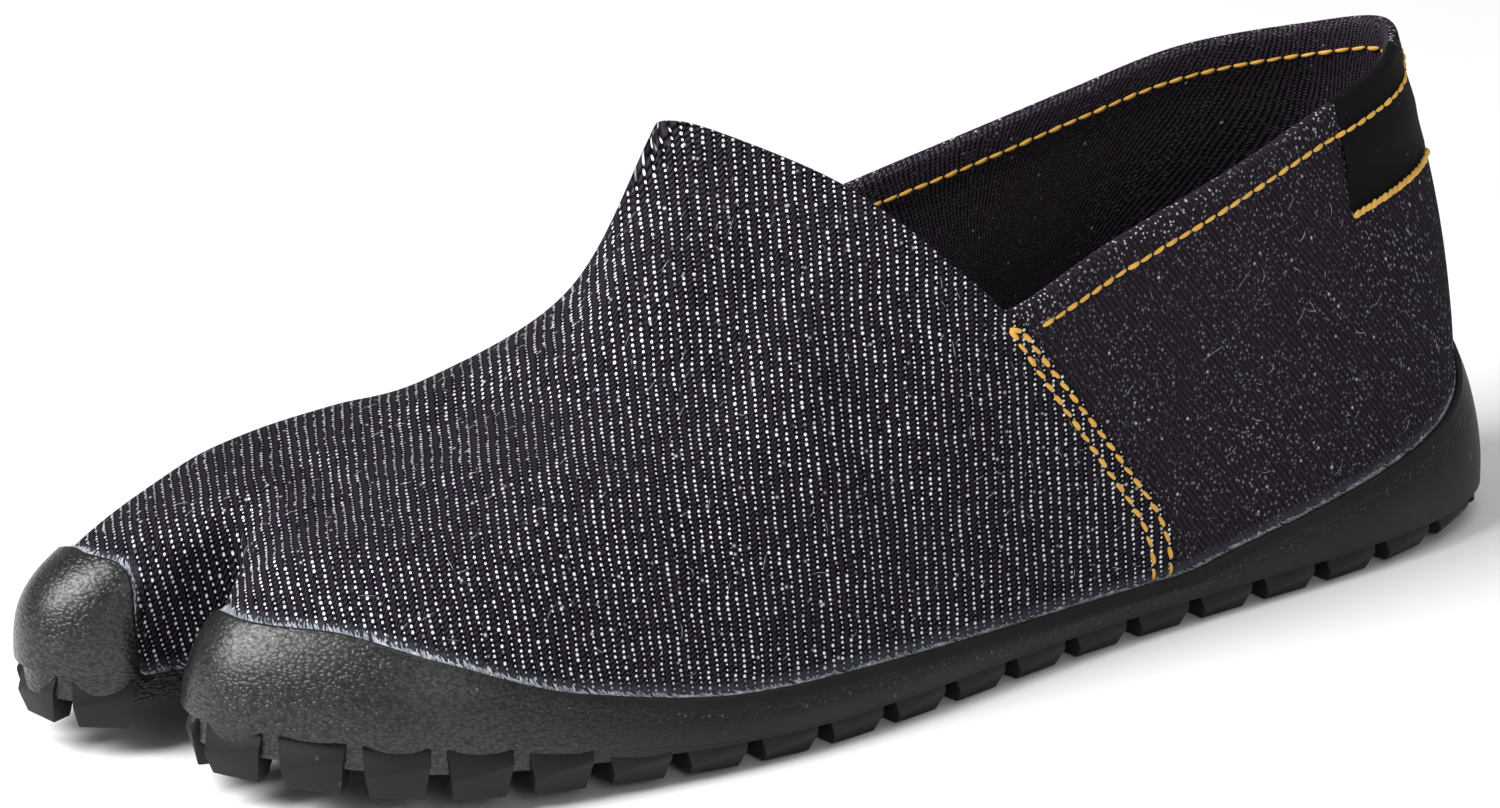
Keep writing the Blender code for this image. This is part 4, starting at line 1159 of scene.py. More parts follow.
@dataclass(frozen=True)
class Denim:
    """Dark indigo twill with pale flecks, buffed pale where it meets the rubber."""

    name: str
    warp: Colour = (0.0007, 0.0005, 0.0010)
    ridge: Colour = (0.040, 0.033, 0.046)
    fleck: Colour = (0.92, 0.93, 0.97)
    buffed: Colour = (0.075, 0.080, 0.100)
    line_pitch: float = 1.5
    dot_pitch: float = 0.84
    angle: float = 0.0
    wobble: float = 0.9
    fleck_size: float = 0.19
    density: float = 0.9
    softness: float = 0.3
    strength: float = 0.95
    clumps: float = 0.35
    jitter: float = 0.14
    rim_gain: float = 0.0
    band: float = 3.2
    fray: float = 0.8
    sheen: float = 0.006
    shine: float = 0.02
    lint: float = 0.55

    def material(self, groups: Groups) -> bpy.types.Material:
        """Build the finish.

        Args:
            groups: The shared node groups.

        Returns:
            The material.
        """
        material, graph, shader = new_material(
            self.name, Roughness=0.95, Sheen_Weight=self.sheen, Sheen_Roughness=0.5,
            Specular_IOR_Level=self.shine)
        cloth = graph.cloth()
        twill = graph.group(
            groups.twill, Place=cloth, Line_Pitch=self.line_pitch, Dot_Pitch=self.dot_pitch, Angle=self.angle,
            Wobble=self.wobble, Fleck_Size=self.fleck_size, Density=self.density, Softness=self.softness,
            Jitter=self.jitter)
        wear = graph.group(groups.wear, Place=cloth, Patch=16.0, Speck=1.9, Amount=0.35)
        rib, warp = twill.outputs["Rib"], twill.outputs["Warp"]
        shade = graph.times(graph.plus(0.12, graph.times(rib, 0.88)), warp)
        base = graph.mix(shade, self.warp, self.ridge)
        mottle = graph.plus(1.0 - self.clumps, graph.times(wear.outputs["Mottle"], self.clumps))
        gain = graph.plus(self.strength, graph.times(graph.attribute("roll"), self.rim_gain))
        # The faint attribute takes flecks away, partly as painted shade on cloth facing up.
        gain = graph.times(gain, graph.minus(1.0, graph.attribute("faint")))
        flecks = graph.times(graph.times(twill.outputs["Fleck"], mottle), gain)
        colour = graph.mix(flecks, base, self.fleck)
        colour = graph.mix(graph.times(wear.outputs["Specks"], self.lint), colour, self.fleck)
        rise = graph.attribute("rise")
        ragged = graph.noise(cloth, 0.9, 3.0, 0.65).outputs["Fac"]
        low = graph.minus(rise, graph.times(graph.minus(ragged, 0.5), 2.4))
        band = graph.times(graph.fade(low, self.band, 0.2), 0.75)
        colour = graph.mix(band, colour, self.buffed)
        worn = graph.noise(cloth, 0.22, 2.0).outputs["Fac"]
        line = graph.times(graph.fade(low, self.fray, self.fray * 0.3), graph.fade(worn, 0.38, 0.6))
        colour = graph.mix(line, colour, self.fleck)
        graph.put(shader.inputs["Base Color"], colour)
        height = graph.plus(graph.times(rib, 0.6), graph.times(warp, 0.25))
        height = graph.plus(height, graph.times(ragged, 0.3))
        graph.put(shader.inputs["Normal"], graph.bump(height, 0.55, 0.22))
        return material


@dataclass(frozen=True)
class Rubber:
    """Matt black moulded rubber, grained on the toe caps and smoother along the sides."""

    name: str = "black_rubber"
    colour: Colour = (0.0032, 0.0028, 0.0029)
    dusty: Colour = (0.0068, 0.0060, 0.0060)
    glue: Colour = (0.24, 0.23, 0.20)
    specks: Colour = (0.25, 0.24, 0.23)
    grain_size: float = 0.8
    gloss: tuple[float, float] = (0.32, 0.65)

    def material(self, groups: Groups) -> bpy.types.Material:
        """Build the finish.

        Args:
            groups: The shared node groups.

        Returns:
            The material.
        """
        material, graph, shader = new_material(self.name, Specular_IOR_Level=0.34, Coat_Roughness=0.38)
        place = graph.place()
        wear = graph.group(groups.wear, Place=place, Patch=11.0, Speck=2.6, Amount=0.12)
        grain = graph.group(groups.grain, Place=place, Size=self.grain_size, Stretch=1.7)
        cap = graph.attribute("cap")
        colour = graph.mix(graph.times(wear.outputs["Mottle"], 0.5), self.colour, self.dusty)
        colour = graph.mix(graph.times(wear.outputs["Specks"], 0.35), colour, self.specks)
        seam = graph.attribute("rim")
        broken = graph.fade(graph.noise(place, 1.6, 3.0, 0.7).outputs["Fac"], 0.58, 0.72)
        colour = graph.mix(graph.times(graph.times(seam, broken), 0.5), colour, self.glue)
        graph.put(shader.inputs["Base Color"], colour)
        rough = graph.plus(0.5, graph.times(wear.outputs["Mottle"], 0.08))
        rough = graph.minus(rough, graph.times(cap, 0.2))
        peaks = graph.fade(grain.outputs["Height"], 0.45, 1.0)
        gloss = graph.plus(self.gloss[0], graph.times(peaks, self.gloss[1]))
        graph.put(shader.inputs["Coat Weight"], graph.times(cap, gloss))
        graph.put(shader.inputs["Roughness"], rough)
        weight = graph.plus(0.1, graph.times(seam, 0.35))
        weight = graph.plus(weight, graph.times(cap, 0.9))
        height = graph.times(grain.outputs["Height"], weight)
        graph.put(shader.inputs["Normal"], graph.bump(height, 1.0, 0.2))
        return material


@dataclass(frozen=True)
class Thread:
    """Thick gold topstitching thread with a twist."""

    name: str = "gold_thread"
    colour: Colour = (0.76, 0.38, 0.035)
    dark: Colour = (0.42, 0.16, 0.010)
    pale: Colour = (0.95, 0.64, 0.13)

    def material(self, groups: Groups) -> bpy.types.Material:
        """Build the finish.

        Args:
            groups: The shared node groups.

        Returns:
            The material.
        """
        material, graph, shader = new_material(self.name, Roughness=0.55, Sheen_Weight=0.2)
        u, v, _ = graph.split(graph.cloth())
        twist = graph.math("SINE", graph.plus(graph.times(u, 9.0), graph.times(v, 0.1256)))
        ply = graph.plus(0.5, graph.times(twist, 0.5))
        wear = graph.group(groups.wear, Place=graph.place(), Patch=4.0, Speck=0.8, Amount=0.3)
        colour = graph.mix(graph.times(ply, 0.55), self.colour, self.pale)
        colour = graph.mix(graph.times(wear.outputs["Mottle"], 0.35), colour, self.dark)
        graph.put(shader.inputs["Base Color"], colour)
        graph.put(shader.inputs["Normal"], graph.bump(ply, 0.7, 0.15))
        return material


@dataclass(frozen=True)
class Webbing:
    """Plain black ribbon with fine ribs across it."""

    name: str = "black_ribbon"
    colour: Colour = (0.0016, 0.0015, 0.0016)
    ridge: Colour = (0.0060, 0.0055, 0.0056)
    specks: Colour = (0.3, 0.3, 0.31)
    pitch: float = 0.45

    def material(self, groups: Groups) -> bpy.types.Material:
        """Build the finish.

        Args:
            groups: The shared node groups.

        Returns:
            The material.
        """
        material, graph, shader = new_material(
            self.name, Roughness=0.8, Sheen_Weight=0.02, Specular_IOR_Level=0.1)
        cloth = graph.cloth()
        twill = graph.group(groups.twill, Place=cloth, Line_Pitch=self.pitch, Dot_Pitch=self.pitch, Angle=0.0,
                            Wobble=0.1, Fleck_Size=0.1, Density=0.0)
        wear = graph.group(groups.wear, Place=cloth, Patch=6.0, Speck=1.5, Amount=0.1)
        weave = graph.times(twill.outputs["Rib"], twill.outputs["Warp"])
        colour = graph.mix(weave, self.colour, self.ridge)
        colour = graph.mix(graph.times(wear.outputs["Specks"], 0.3), colour, self.specks)
        graph.put(shader.inputs["Base Color"], colour)
        graph.put(shader.inputs["Normal"], graph.bump(twill.outputs["Rib"], 0.5, 0.12))
        return material


@dataclass(frozen=True)
class Fibre:
    """Pale loose fibres of cloth."""

    name: str = "pale_fibre"
    colour: Colour = (0.74, 0.77, 0.82)
    blue: Colour = (0.27, 0.30, 0.37)

    def material(self, groups: Groups) -> bpy.types.Material:
        """Build the finish.

        Args:
            groups: The shared node groups.

        Returns:
            The material.
        """
        material, graph, shader = new_material(self.name, Roughness=0.85)
        wear = graph.group(groups.wear, Place=graph.place(), Patch=1.6, Speck=0.5, Amount=0.2)
        colour = graph.mix(graph.times(wear.outputs["Mottle"], 0.8), self.colour, self.blue)
        graph.put(shader.inputs["Base Color"], colour)
        return material


def add_grid(bm: bmesh.types.BMesh, points: Array) -> list[bmesh.types.BMVert]:
    """Add a sheet of quads and move its corners to the given points.

    Args:
        bm: Mesh under construction.
        points: Places in metres, rows by columns by three.

    Returns:
        The sheet's corners, row by row.
    """
    rows, cols, _ = points.shape
    made = bmesh.ops.create_grid(bm, x_segments=cols - 1, y_segments=rows - 1, size=1.0)["verts"]
    for vert, place in zip(made, points.reshape(-1, 3)):
        vert.co = place
    return made


def cover(bm: bmesh.types.BMesh, ring: Sequence[bmesh.types.BMVert], loop: Array, last: Last,
          level: float, step: float = 6.0, margin: float = 2.5) -> None:
    """Fill a ring of corners with a sheet that follows the sole's spring.

    Args:
        bm: Mesh under construction.
        ring: Corners of the ring.
        loop: Their plan places in table millimetres.
        last: The shoe's last.
        level: Height of the sheet above the spring line.
        step: Distance between the sheet's inner points.
        margin: Least distance of an inner point from the ring.
    """
    lo, hi = loop.min(0), loop.max(0)
    inner = [
        (gx, gy)
        for gx in np.arange(lo[0] + step * 0.5, hi[0], step)
        for gy in np.arange(lo[1] + step * 0.5, hi[1], step)
        if inside(loop, gx, gy) and np.hypot(loop[:, 0] - gx, loop[:, 1] - gy).min() > margin
    ]
    count = len(loop)
    flat = [Vector((float(a), float(b))) for a, b in list(loop) + inner]
    edges = [(i, (i + 1) % count) for i in range(count)]
    verts, _, faces, origin, _, _ = delaunay_2d_cdt(flat, edges, [], 1, 1e-5)
    made = []
    for vert, source in zip(verts, origin):
        if source[0] < count:
            made.append(ring[source[0]])
        else:
            height = float(last.spring(vert.x, vert.y)) + level
            made.append(bm.verts.new(last.world(np.array([vert.x, vert.y, height]))))
    for face in faces:
        bm.faces.new([made[i] for i in face])


def finish_piece(name: str, bm: bmesh.types.BMesh, materials: Sequence[bpy.types.Material],
                 replaced: Optional[str] = None, sharp: float = 45.0) -> bpy.types.Object:
    """Turn a mesh under construction into a piece of the shoe.

    Args:
        name: Name of the piece.
        bm: Mesh under construction, freed here.
        materials: Its materials in order.
        replaced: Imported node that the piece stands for.
        sharp: Angle in degrees above which an edge is drawn sharp.

    Returns:
        The piece.
    """
    bmesh.ops.remove_doubles(bm, verts=bm.verts, dist=MERGE)
    bmesh.ops.dissolve_degenerate(bm, edges=bm.edges, dist=MERGE)
    mesh = bpy.data.meshes.new(name)
    bm.to_mesh(mesh)
    bm.free()
    mesh.shade_smooth()
    mesh.set_sharp_from_angle(angle=math.radians(sharp))
    for material in materials:
        mesh.materials.append(material)
    piece = bpy.data.objects.new(name, mesh)
    bpy.context.scene.collection.objects.link(piece)
    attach(piece, BODY)
    if replaced:
        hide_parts(replaced)
    LOG.info("%s: %d faces", name, len(mesh.polygons))
    return piece


@dataclass
class DenimUpper:
    """The sewn cloth: front panel lapped over the quarters, turned hem, puckered stitch lines."""

    shell: Shell
    wall: float = 1.7
    hem: float = 0.45
    hem_depth: float = 6.8
    hem_run: float = 0.8
    lap_step: float = 0.8
    lap_fade: float = 60.0
    lap_clear: float = 2.5
    stitch_drop: float = 5.3
    pucker: float = 0.3
    pucker_width: float = 1.1
    stitch_pitch: float = 2.6
    notch_depth: float = 1.4
    notch_width: float = 2.0
    notch_at: float = 9.93
    cup_rows: int = 4
    body_rows: int = 64
    hem_rows: int = 14
    roll_rows: int = 8
    pale_rows: tuple[int, int] = (9, 2)
    inner_rows: int = 30

    def __post_init__(self) -> None:
        """Lay the panels flat to find the run of their weave."""
        last = self.shell.last
        outer, inner = last.station("seam_outer"), last.station("seam_inner")
        self.vamp_plan = Pattern(self.shell, outer, inner, 96, (-0.833, 0.545, 0.05), (-0.03, -0.06, 0.2),
                                 planar=True, least=0.75)
        self.quarter_plan = Pattern(self.shell, inner - last.period, outer, 60, (0.8, 0.0, -0.6))

    def extra(self, where: Array, share: Array) -> Array:
        """How far the outer face stands proud of the sheet: lap, hem and pulled stitch lines.

        Args:
            where: Stations along the outline.
            share: Share of the way to the opening, same shape.

        Returns:
            Heights in millimetres.
        """
        total, cup = self.shell.measure(where)
        drop = (1.0 - share) * total
        rise = share * total - cup
        vamp = self.shell.in_vamp(where)
        fade = np.clip(1.0 - self.shell.ahead(where) / self.lap_fade, 0.0, 1.0)
        lap = np.where(vamp, self.lap_step * fade, 0.0) * np.clip(rise / self.lap_clear, 0.0, 1.0)
        turned = smooth(self.hem_depth + self.hem_run * 0.5 - drop, 0.0, self.hem_run)
        hem = np.where(vamp, 0.0, self.hem * turned)
        beat = 0.75 + 0.25 * np.cos(math.tau * where / self.stitch_pitch)
        line = np.exp(-(((drop - self.stitch_drop) / self.pucker_width) ** 2))
        return lap + hem - np.where(vamp, 0.0, self.pucker * line * beat)

    def rim_cut(self, where: Array) -> Array:
        """Small notch at the top of the throat."""
        place = np.interp(self.notch_at, column(OUTLINE, "top"), self.shell.last.knots)
        return self.notch_depth * np.exp(-(((where - place) / self.notch_width) ** 2))

    def rows(self) -> tuple[Array, Array, Array, Array, Array]:
        """Rows of the wall from its foot outside, over the rolled edge, to its foot inside.

        Returns:
            Share of the height, lift along the outward direction, push over the edge and distance up
            the cloth for each row and station, and a flag for rows of the inner face.
        """
        where, shell = self.shell.where, self.shell
        total, cup = shell.measure(where)
        vamp = shell.in_vamp(where)
        thick = self.wall + np.where(vamp, 0.0, self.hem)
        top = total - self.rim_cut(where)
        front = self.extra(where, np.ones_like(where))
        radius = (front + thick) * 0.5
        bend = top - radius
        cup_part = cup[None, :] * np.linspace(0.0, 1.0, self.cup_rows)[:, None]
        hem_start = top - self.hem_depth - self.hem_run
        body = cup + (hem_start - cup) * np.linspace(0.0, 1.0, self.body_rows)[1:, None]
        hem = hem_start + (bend - hem_start) * np.linspace(0.0, 1.0, self.hem_rows)[1:, None]
        outer = np.concatenate([cup_part, body, hem]) / total
        inner = (bend * np.linspace(1.0, 0.0, self.inner_rows)[:, None]) / total
        lift_out = self.extra(where[None, :], outer)
        lift_out[-1] = front
        drop = (1.0 - inner) * total
        turned = smooth(self.hem_depth + self.hem_run - drop, 0.0, self.hem_run)
        lift_in = -(self.wall + np.where(vamp, 0.0, self.hem) * turned)
        angles = np.linspace(0.0, math.pi, self.roll_rows + 2)[1:-1, None]
        middle = (front - thick) * 0.5
        roll_lift = middle + radius * np.cos(angles)
        roll_push = radius * np.sin(angles)
        share = np.concatenate([outer, np.repeat((bend / total)[None, :], self.roll_rows, 0), inner])
        lift = np.concatenate([lift_out, roll_lift, lift_in])
        push = np.concatenate([np.zeros_like(outer), roll_push, np.zeros_like(inner)])
        round_edge = 2.0 * bend + math.pi * radius
        reach = np.concatenate([outer * total, bend + radius * angles, round_edge - inner * total])
        half = self.roll_rows // 2
        flag = np.concatenate([np.zeros(len(outer) + half), np.ones(self.roll_rows - half + len(inner))])
        return share, lift, push, reach, flag

    def build(self, materials: Sequence[bpy.types.Material]) -> bpy.types.Object:
        """Make the cloth.

        Args:
            materials: Finishes of the front panel, the quarters and the inside.

        Returns:
            The piece.
        """
        shell = self.shell
        share, lift, push, reach, inner = self.rows()
        where = np.broadcast_to(shell.where[None, :], share.shape)
        points, out = shell.raised(where, share, lift, push)
        total, cup = shell.measure(shell.where)
        rise = np.where(inner[:, None] > 0.5, FAR_UP, share * total - cup)
        first = self.cup_rows + self.body_rows + self.hem_rows - 2
        index = np.arange(len(rise))
        final = first + self.roll_rows
        rolled = smooth(index, first - self.pale_rows[0], first - 1)
        rolled *= smooth(-index, -final - self.pale_rows[1], -final)
        vamp_uv = self.vamp_plan.place(where, reach, points)
        quarter_uv = self.quarter_plan.place(where, reach, points)
        # Fleck loss on the front panel, partly painted shade that darkens cloth facing up.
        faint = self.vamp_plan.faint(out) * shell.in_vamp(where)
        closed = np.concatenate([points, points[:, :1]], 1)
        closed = np.concatenate([closed, closed[:1]], 0)
        bm = bmesh.new()
        rise_layer = bm.verts.layers.float.new("rise")
        roll_layer = bm.verts.layers.float.new("roll")
        faint_layer = bm.verts.layers.float.new("faint")
        uv_layer = bm.loops.layers.uv.new("cloth")
        verts = add_grid(bm, shell.last.world(closed))
        cols = closed.shape[1]
        for k, vert in enumerate(verts):
            i, j = divmod(k, cols)
            vert[rise_layer] = float(rise[i % len(rise), j % len(shell.where)])
            vert[roll_layer] = float(rolled[i % len(rise)])
            vert[faint_layer] = float(faint[i % len(rise), j % len(shell.where)])
        bm.verts.index_update()
        vamp = shell.in_vamp(shell.where)
        for face in bm.faces:
            corners = [divmod(loop.vert.index, cols) for loop in face.loops]
            i = min(c[0] for c in corners)
            j = min(c[1] for c in corners)
            k = (j + 1) % len(shell.where)
            front = bool(vamp[j] or vamp[k])
            if inner[i] > 0.5:
                face.material_index = Panel.LINING.value
            else:
                face.material_index = (Panel.VAMP if front else Panel.QUARTER).value
            uv = vamp_uv if front else quarter_uv
            for loop, (r, c) in zip(face.loops, corners):
                loop[uv_layer].uv = uv[r % len(rise), c % len(shell.where)] * UV_SCALE
        return finish_piece("upper_cloth", bm, materials, "upper", 60.0)


@dataclass
class CupSole:
    """Moulded rubber: a cup whose wall rises into toe caps, standing on tapered lugs."""

    shell: Shell
    wall_rows: int = 16
    rim_rows: int = 5
    inner_rows: int = 5
    ledge: tuple[float, float] = (0.7, 4.4)
    recess: tuple[float, float] = (0.5, 0.9)
    lip: float = 0.35
    rim_band: tuple[float, float] = (2.2, 0.9)
    rim_flat: float = 0.8
    lug_pitch: float = 13.66
    lug_first: float = 5.5
    lug_top: float = 11.4
    lug_foot: float = 9.0
    lug_depth: float = 12.5
    toe_lug_depth: float = 8.0
    lug_setback: float = 0.3
    lug_flare: float = 1.5
    lug_root: float = 1.0
    lug_waist: tuple[float, float] = (0.66, 0.4)
    lug_round: float = 0.3
    centre_lug: tuple[float, float] = (9.0, 8.0)
    centre_pitch: tuple[float, float] = (13.7, 12.4)
    centre_margin: float = 17.5

    def build_cup(self, bm: bmesh.types.BMesh) -> None:
        """Add the cup to a mesh under construction.

        Args:
            bm: Mesh under construction, with its layers cap and rim.
        """
        shell, last = self.shell, self.shell.last
        where = shell.where
        total, cup = shell.measure(where)
        cap = last.cap_weight(where)
        over = last.lug_height + self.ledge[0] + self.ledge[1] * cap
        low = np.clip((over - last.bed - last.clearance) / cup, 0.0, 0.8)
        share = low[None, :] + (1.0 - low)[None, :] * np.linspace(0.0, 1.0, self.wall_rows)[:, None]
        points, out = shell.spot(where[None, :], cup / total * share)
        flare = last.flare(where)
        wall = (last.cup_wall + flare) * (1.0 - share**2) + last.cup_edge * share**2
        outside = points + out * (last.clearance + wall)[:, :, None]
        half = last.cup_edge * 0.5
        top, face = points[-1], out[-1]
        climb = unit(points[-1] - points[-2])
        angles = np.linspace(0.0, math.pi, self.rim_rows + 2)[1:-1]
        rim = [top + face * (last.clearance + half + half * math.cos(a))
               + climb * (half * self.rim_flat * math.sin(a)) for a in angles]
        spots = np.linspace(1.0, 0.0, self.inner_rows)[:, None]
        inner_points, inner_out = shell.spot(where[None, :], cup / total * spots)
        inner = inner_points + inner_out * last.clearance
        foot = outside[0].copy()
        floor = last.spring(foot[:, 0], foot[:, 1])
        foot[:, 2] = np.minimum(floor + over, foot[:, 2] - self.lip)
        _, inward = last.outline(where)
        step = foot.copy()
        step[:, :2] += inward * (self.recess[0] + self.recess[1] * cap)[:, None]
        step[:, 2] -= self.lip
        under = step.copy()
        under[:, 2] = floor + last.lug_height
        bed = inner[-1].copy()
        bed[:, 2] = last.spring(bed[:, 0], bed[:, 1]) + last.bed
        lower = [under, step, foot]
        grid = np.stack([*lower, *outside, *rim, *inner[:-1], bed])
        closed = np.concatenate([grid, grid[:, :1]], 1)
        verts = add_grid(bm, last.world(closed))
        cols = closed.shape[1]
        cap_layer, rim_layer = bm.verts.layers.float["cap"], bm.verts.layers.float["rim"]
        below = 1.0 - share
        for k, vert in enumerate(verts):
            i, j = divmod(k, cols)
            vert[cap_layer] = float(cap[j % len(where)])
            row = i - len(lower)
            if 0 <= row < self.wall_rows:
                gap = below[row, j % len(where)] * cup[j % len(where)]
                vert[rim_layer] = float(math.exp(-(((gap - self.rim_band[0]) / self.rim_band[1]) ** 2)))
        bmesh.ops.remove_doubles(bm, verts=verts, dist=MERGE)
        kept = [v for v in verts if v.is_valid]
        cover(bm, kept[:cols - 1], under[:, :2], last, last.lug_height)
        cover(bm, kept[-(cols - 1):], bed[:, :2], last, last.bed)

    def add_lug(self, bm: bmesh.types.BMesh, top: Array, waist: Array,
                foot: Array) -> list[bmesh.types.BMEdge]:
        """Add one block with a crease round its waist.

        Args:
            bm: Mesh under construction.
            top: Four upper corners in table millimetres, in order round the block.
            waist: Four corners of the crease in the same order.
            foot: Four lower corners in the same order.

        Returns:
            The block's edges.
        """
        before = len(bm.verts)
        made = bmesh.ops.create_cube(bm, size=1.0)["verts"]
        posts = {e for v in made for e in v.link_edges if abs(e.verts[0].co.z - e.verts[1].co.z) > 0.5}
        bmesh.ops.subdivide_edges(bm, edges=list(posts), cuts=1)
        bm.verts.ensure_lookup_table()
        made = bm.verts[before:]
        order = {(-1, -1): 0, (1, -1): 1, (1, 1): 2, (-1, 1): 3}
        last = self.shell.last
        for vert in made:
            k = order[(1 if vert.co.x > 0 else -1, 1 if vert.co.y > 0 else -1)]
            level = top if vert.co.z > 0.25 else foot if vert.co.z < -0.25 else waist
            vert.co = last.world(level[k])
        edges = {edge for vert in made for edge in vert.link_edges}
        bmesh.ops.recalc_face_normals(bm, faces=list({f for e in edges for f in e.link_faces}))
        return list(edges)

    def lug_rows(self) -> list[tuple[Array, Array, Array]]:
        """Upper, waist and lower corners of every lug, round the edge and in the middle."""
        last = self.shell.last
        steps = np.linspace(0.0, last.period, last.outline_points)
        line = last.line
        arc = lengths(line[None])[0]
        skip = np.interp([last.station("cap_end_outer"), last.station("split_inner")], steps, arc)
        toes = np.interp([last.station("toe4"), last.station("toe1_side")], steps, arc)
        rows = []

        def corners(plan: Sequence[Array], height: Callable[[float, float], Array]) -> Array:
            """Give plan points their heights."""
            return np.array([(p[0], p[1], float(height(p[0], p[1]))) for p in plan])

        def root(x: float, y: float) -> Array:
            """Height of a lug's upper end, inside the slab."""
            return last.spring(x, y) + last.lug_height + self.lug_root

        middle = self.lug_first
        while middle < arc[-1] - self.lug_foot * 0.5:
            if not skip[0] < middle < skip[1] + self.lug_foot * 0.5:
                halves = (-self.lug_top, self.lug_top, -self.lug_foot, self.lug_foot)
                point, inward = last.outline(np.interp([middle + h * 0.5 for h in halves], arc, steps))
                depth = self.toe_lug_depth if toes[0] < middle < toes[1] else self.lug_depth
                reach = self.lug_setback + self.lug_flare
                deep = depth - self.lug_flare
                cap = float(last.cap_weight(np.interp([middle], arc, steps))[0])
                tuck = self.recess[0] + self.recess[1] * cap + self.lug_setback
                top = [point[0] + inward[0] * tuck, point[1] + inward[1] * tuck,
                       point[1] + inward[1] * depth, point[0] + inward[0] * depth]
                foot = [point[2] + inward[2] * reach, point[3] + inward[3] * reach,
                        point[3] + inward[3] * deep, point[2] + inward[2] * deep]
                high, low = corners(top, root), corners(foot, last.tread_height)
                high[:2, 2] += self.ledge[0] - self.lug_root + self.ledge[1] * cap - self.lip
                waist = (high + low) * 0.5
                for k, share in enumerate(self.lug_waist):
                    waist[k] = low[k] + (high[k] - low[k]) * share
                    edge = point[k] * share + point[k + 2] * (1.0 - share)
                    waist[k, :2] = edge + inward[k] * self.lug_setback
                rows.append((high, waist, low))
            middle += self.lug_pitch
        loop = line[::20]
        half_x, half_y = self.centre_lug[0] * 0.5, self.centre_lug[1] * 0.5
        across = int(last.toe_tip * 0.2 / self.centre_pitch[1])
        for i in range(int(last.toe_tip / self.centre_pitch[0])):
            for j in range(-across, across + 1):
                cx = (i + 0.5) * self.centre_pitch[0]
                cy = (j + 0.5 * (i % 2)) * self.centre_pitch[1]
                near = np.hypot(loop[:, 0] - cx, loop[:, 1] - cy).min()
                if inside(loop, cx, cy) and near > self.centre_margin:
                    signs = ((-1, -1), (1, -1), (1, 1), (-1, 1))
                    plan = [np.array((cx + a * half_x, cy + b * half_y)) for a, b in signs]
                    high, low = corners(plan, root), corners(plan, last.tread_height)
                    rows.append((high, (high + low) * 0.5, low))
        return rows

    def build(self, materials: Sequence[bpy.types.Material]) -> bpy.types.Object:
        """Make the sole.

        Args:
            materials: Its one finish.

        Returns:
            The piece.
        """
        bm = bmesh.new()
        bm.verts.layers.float.new("cap")
        bm.verts.layers.float.new("rim")
        self.build_cup(bm)
        edges = [edge for levels in self.lug_rows() for edge in self.add_lug(bm, *levels)]
        bmesh.ops.bevel(bm, geom=edges, offset=self.lug_round * MM, offset_type="OFFSET", segments=2,
                        profile=0.5, affect="EDGES", clamp_overlap=True, material=-1)
        return finish_piece("sole_rubber", bm, materials, "sole", 38.0)


@dataclass
class Footbed:
    """Cloth-covered footbed with the split toe."""

    shell: Shell
    wall: float = 1.7
    thick: float = 3.0
    clearance: float = 0.3
    crown: float = 0.5
    slope_run: float = 6.0

    def build(self, materials: Sequence[bpy.types.Material]) -> bpy.types.Object:
        """Make the footbed.

        Args:
            materials: Its one finish.

        Returns:
            The piece.
        """
        shell, last = self.shell, self.shell.last
        where = shell.where
        total, _ = shell.measure(where)
        base, out = shell.spot(where, np.zeros_like(where))
        higher, _ = shell.spot(where, self.slope_run / total)
        flat_out = unit(out[:, :2])
        slope = (higher[:, :2] - base[:, :2]) / (higher[:, 2] - base[:, 2])[:, None]
        rings = []
        for level, back in ((0.0, 0.0), (self.thick - self.crown, 0.0), (self.thick, self.crown)):
            loop = base[:, :2] + slope * level - flat_out * (self.wall + self.clearance + back)
            height = last.spring(loop[:, 0], loop[:, 1]) + last.bed + self.clearance + level
            rings.append(np.column_stack([loop, height]))
        bm = bmesh.new()
        rise = bm.verts.layers.float.new("rise")
        uv_layer = bm.loops.layers.uv.new("cloth")
        grid = np.stack(rings)
        closed = np.concatenate([grid, grid[:, :1]], 1)
        verts = add_grid(bm, last.world(closed))
        bmesh.ops.remove_doubles(bm, verts=verts, dist=MERGE)
        kept = [v for v in verts if v.is_valid]
        count = len(where)
        cover(bm, kept[:count], grid[0][:, :2], last, last.bed + self.clearance)
        cover(bm, kept[-count:], grid[-1][:, :2], last, last.bed + self.clearance + self.thick)
        bmesh.ops.recalc_face_normals(bm, faces=bm.faces)
        for vert in bm.verts:
            vert[rise] = FAR_UP
        for face in bm.faces:
            for loop in face.loops:
                loop[uv_layer].uv = Vector((loop.vert.co.x, loop.vert.co.y)) / MM * UV_SCALE
        return finish_piece("footbed", bm, materials, "insole", 40.0)


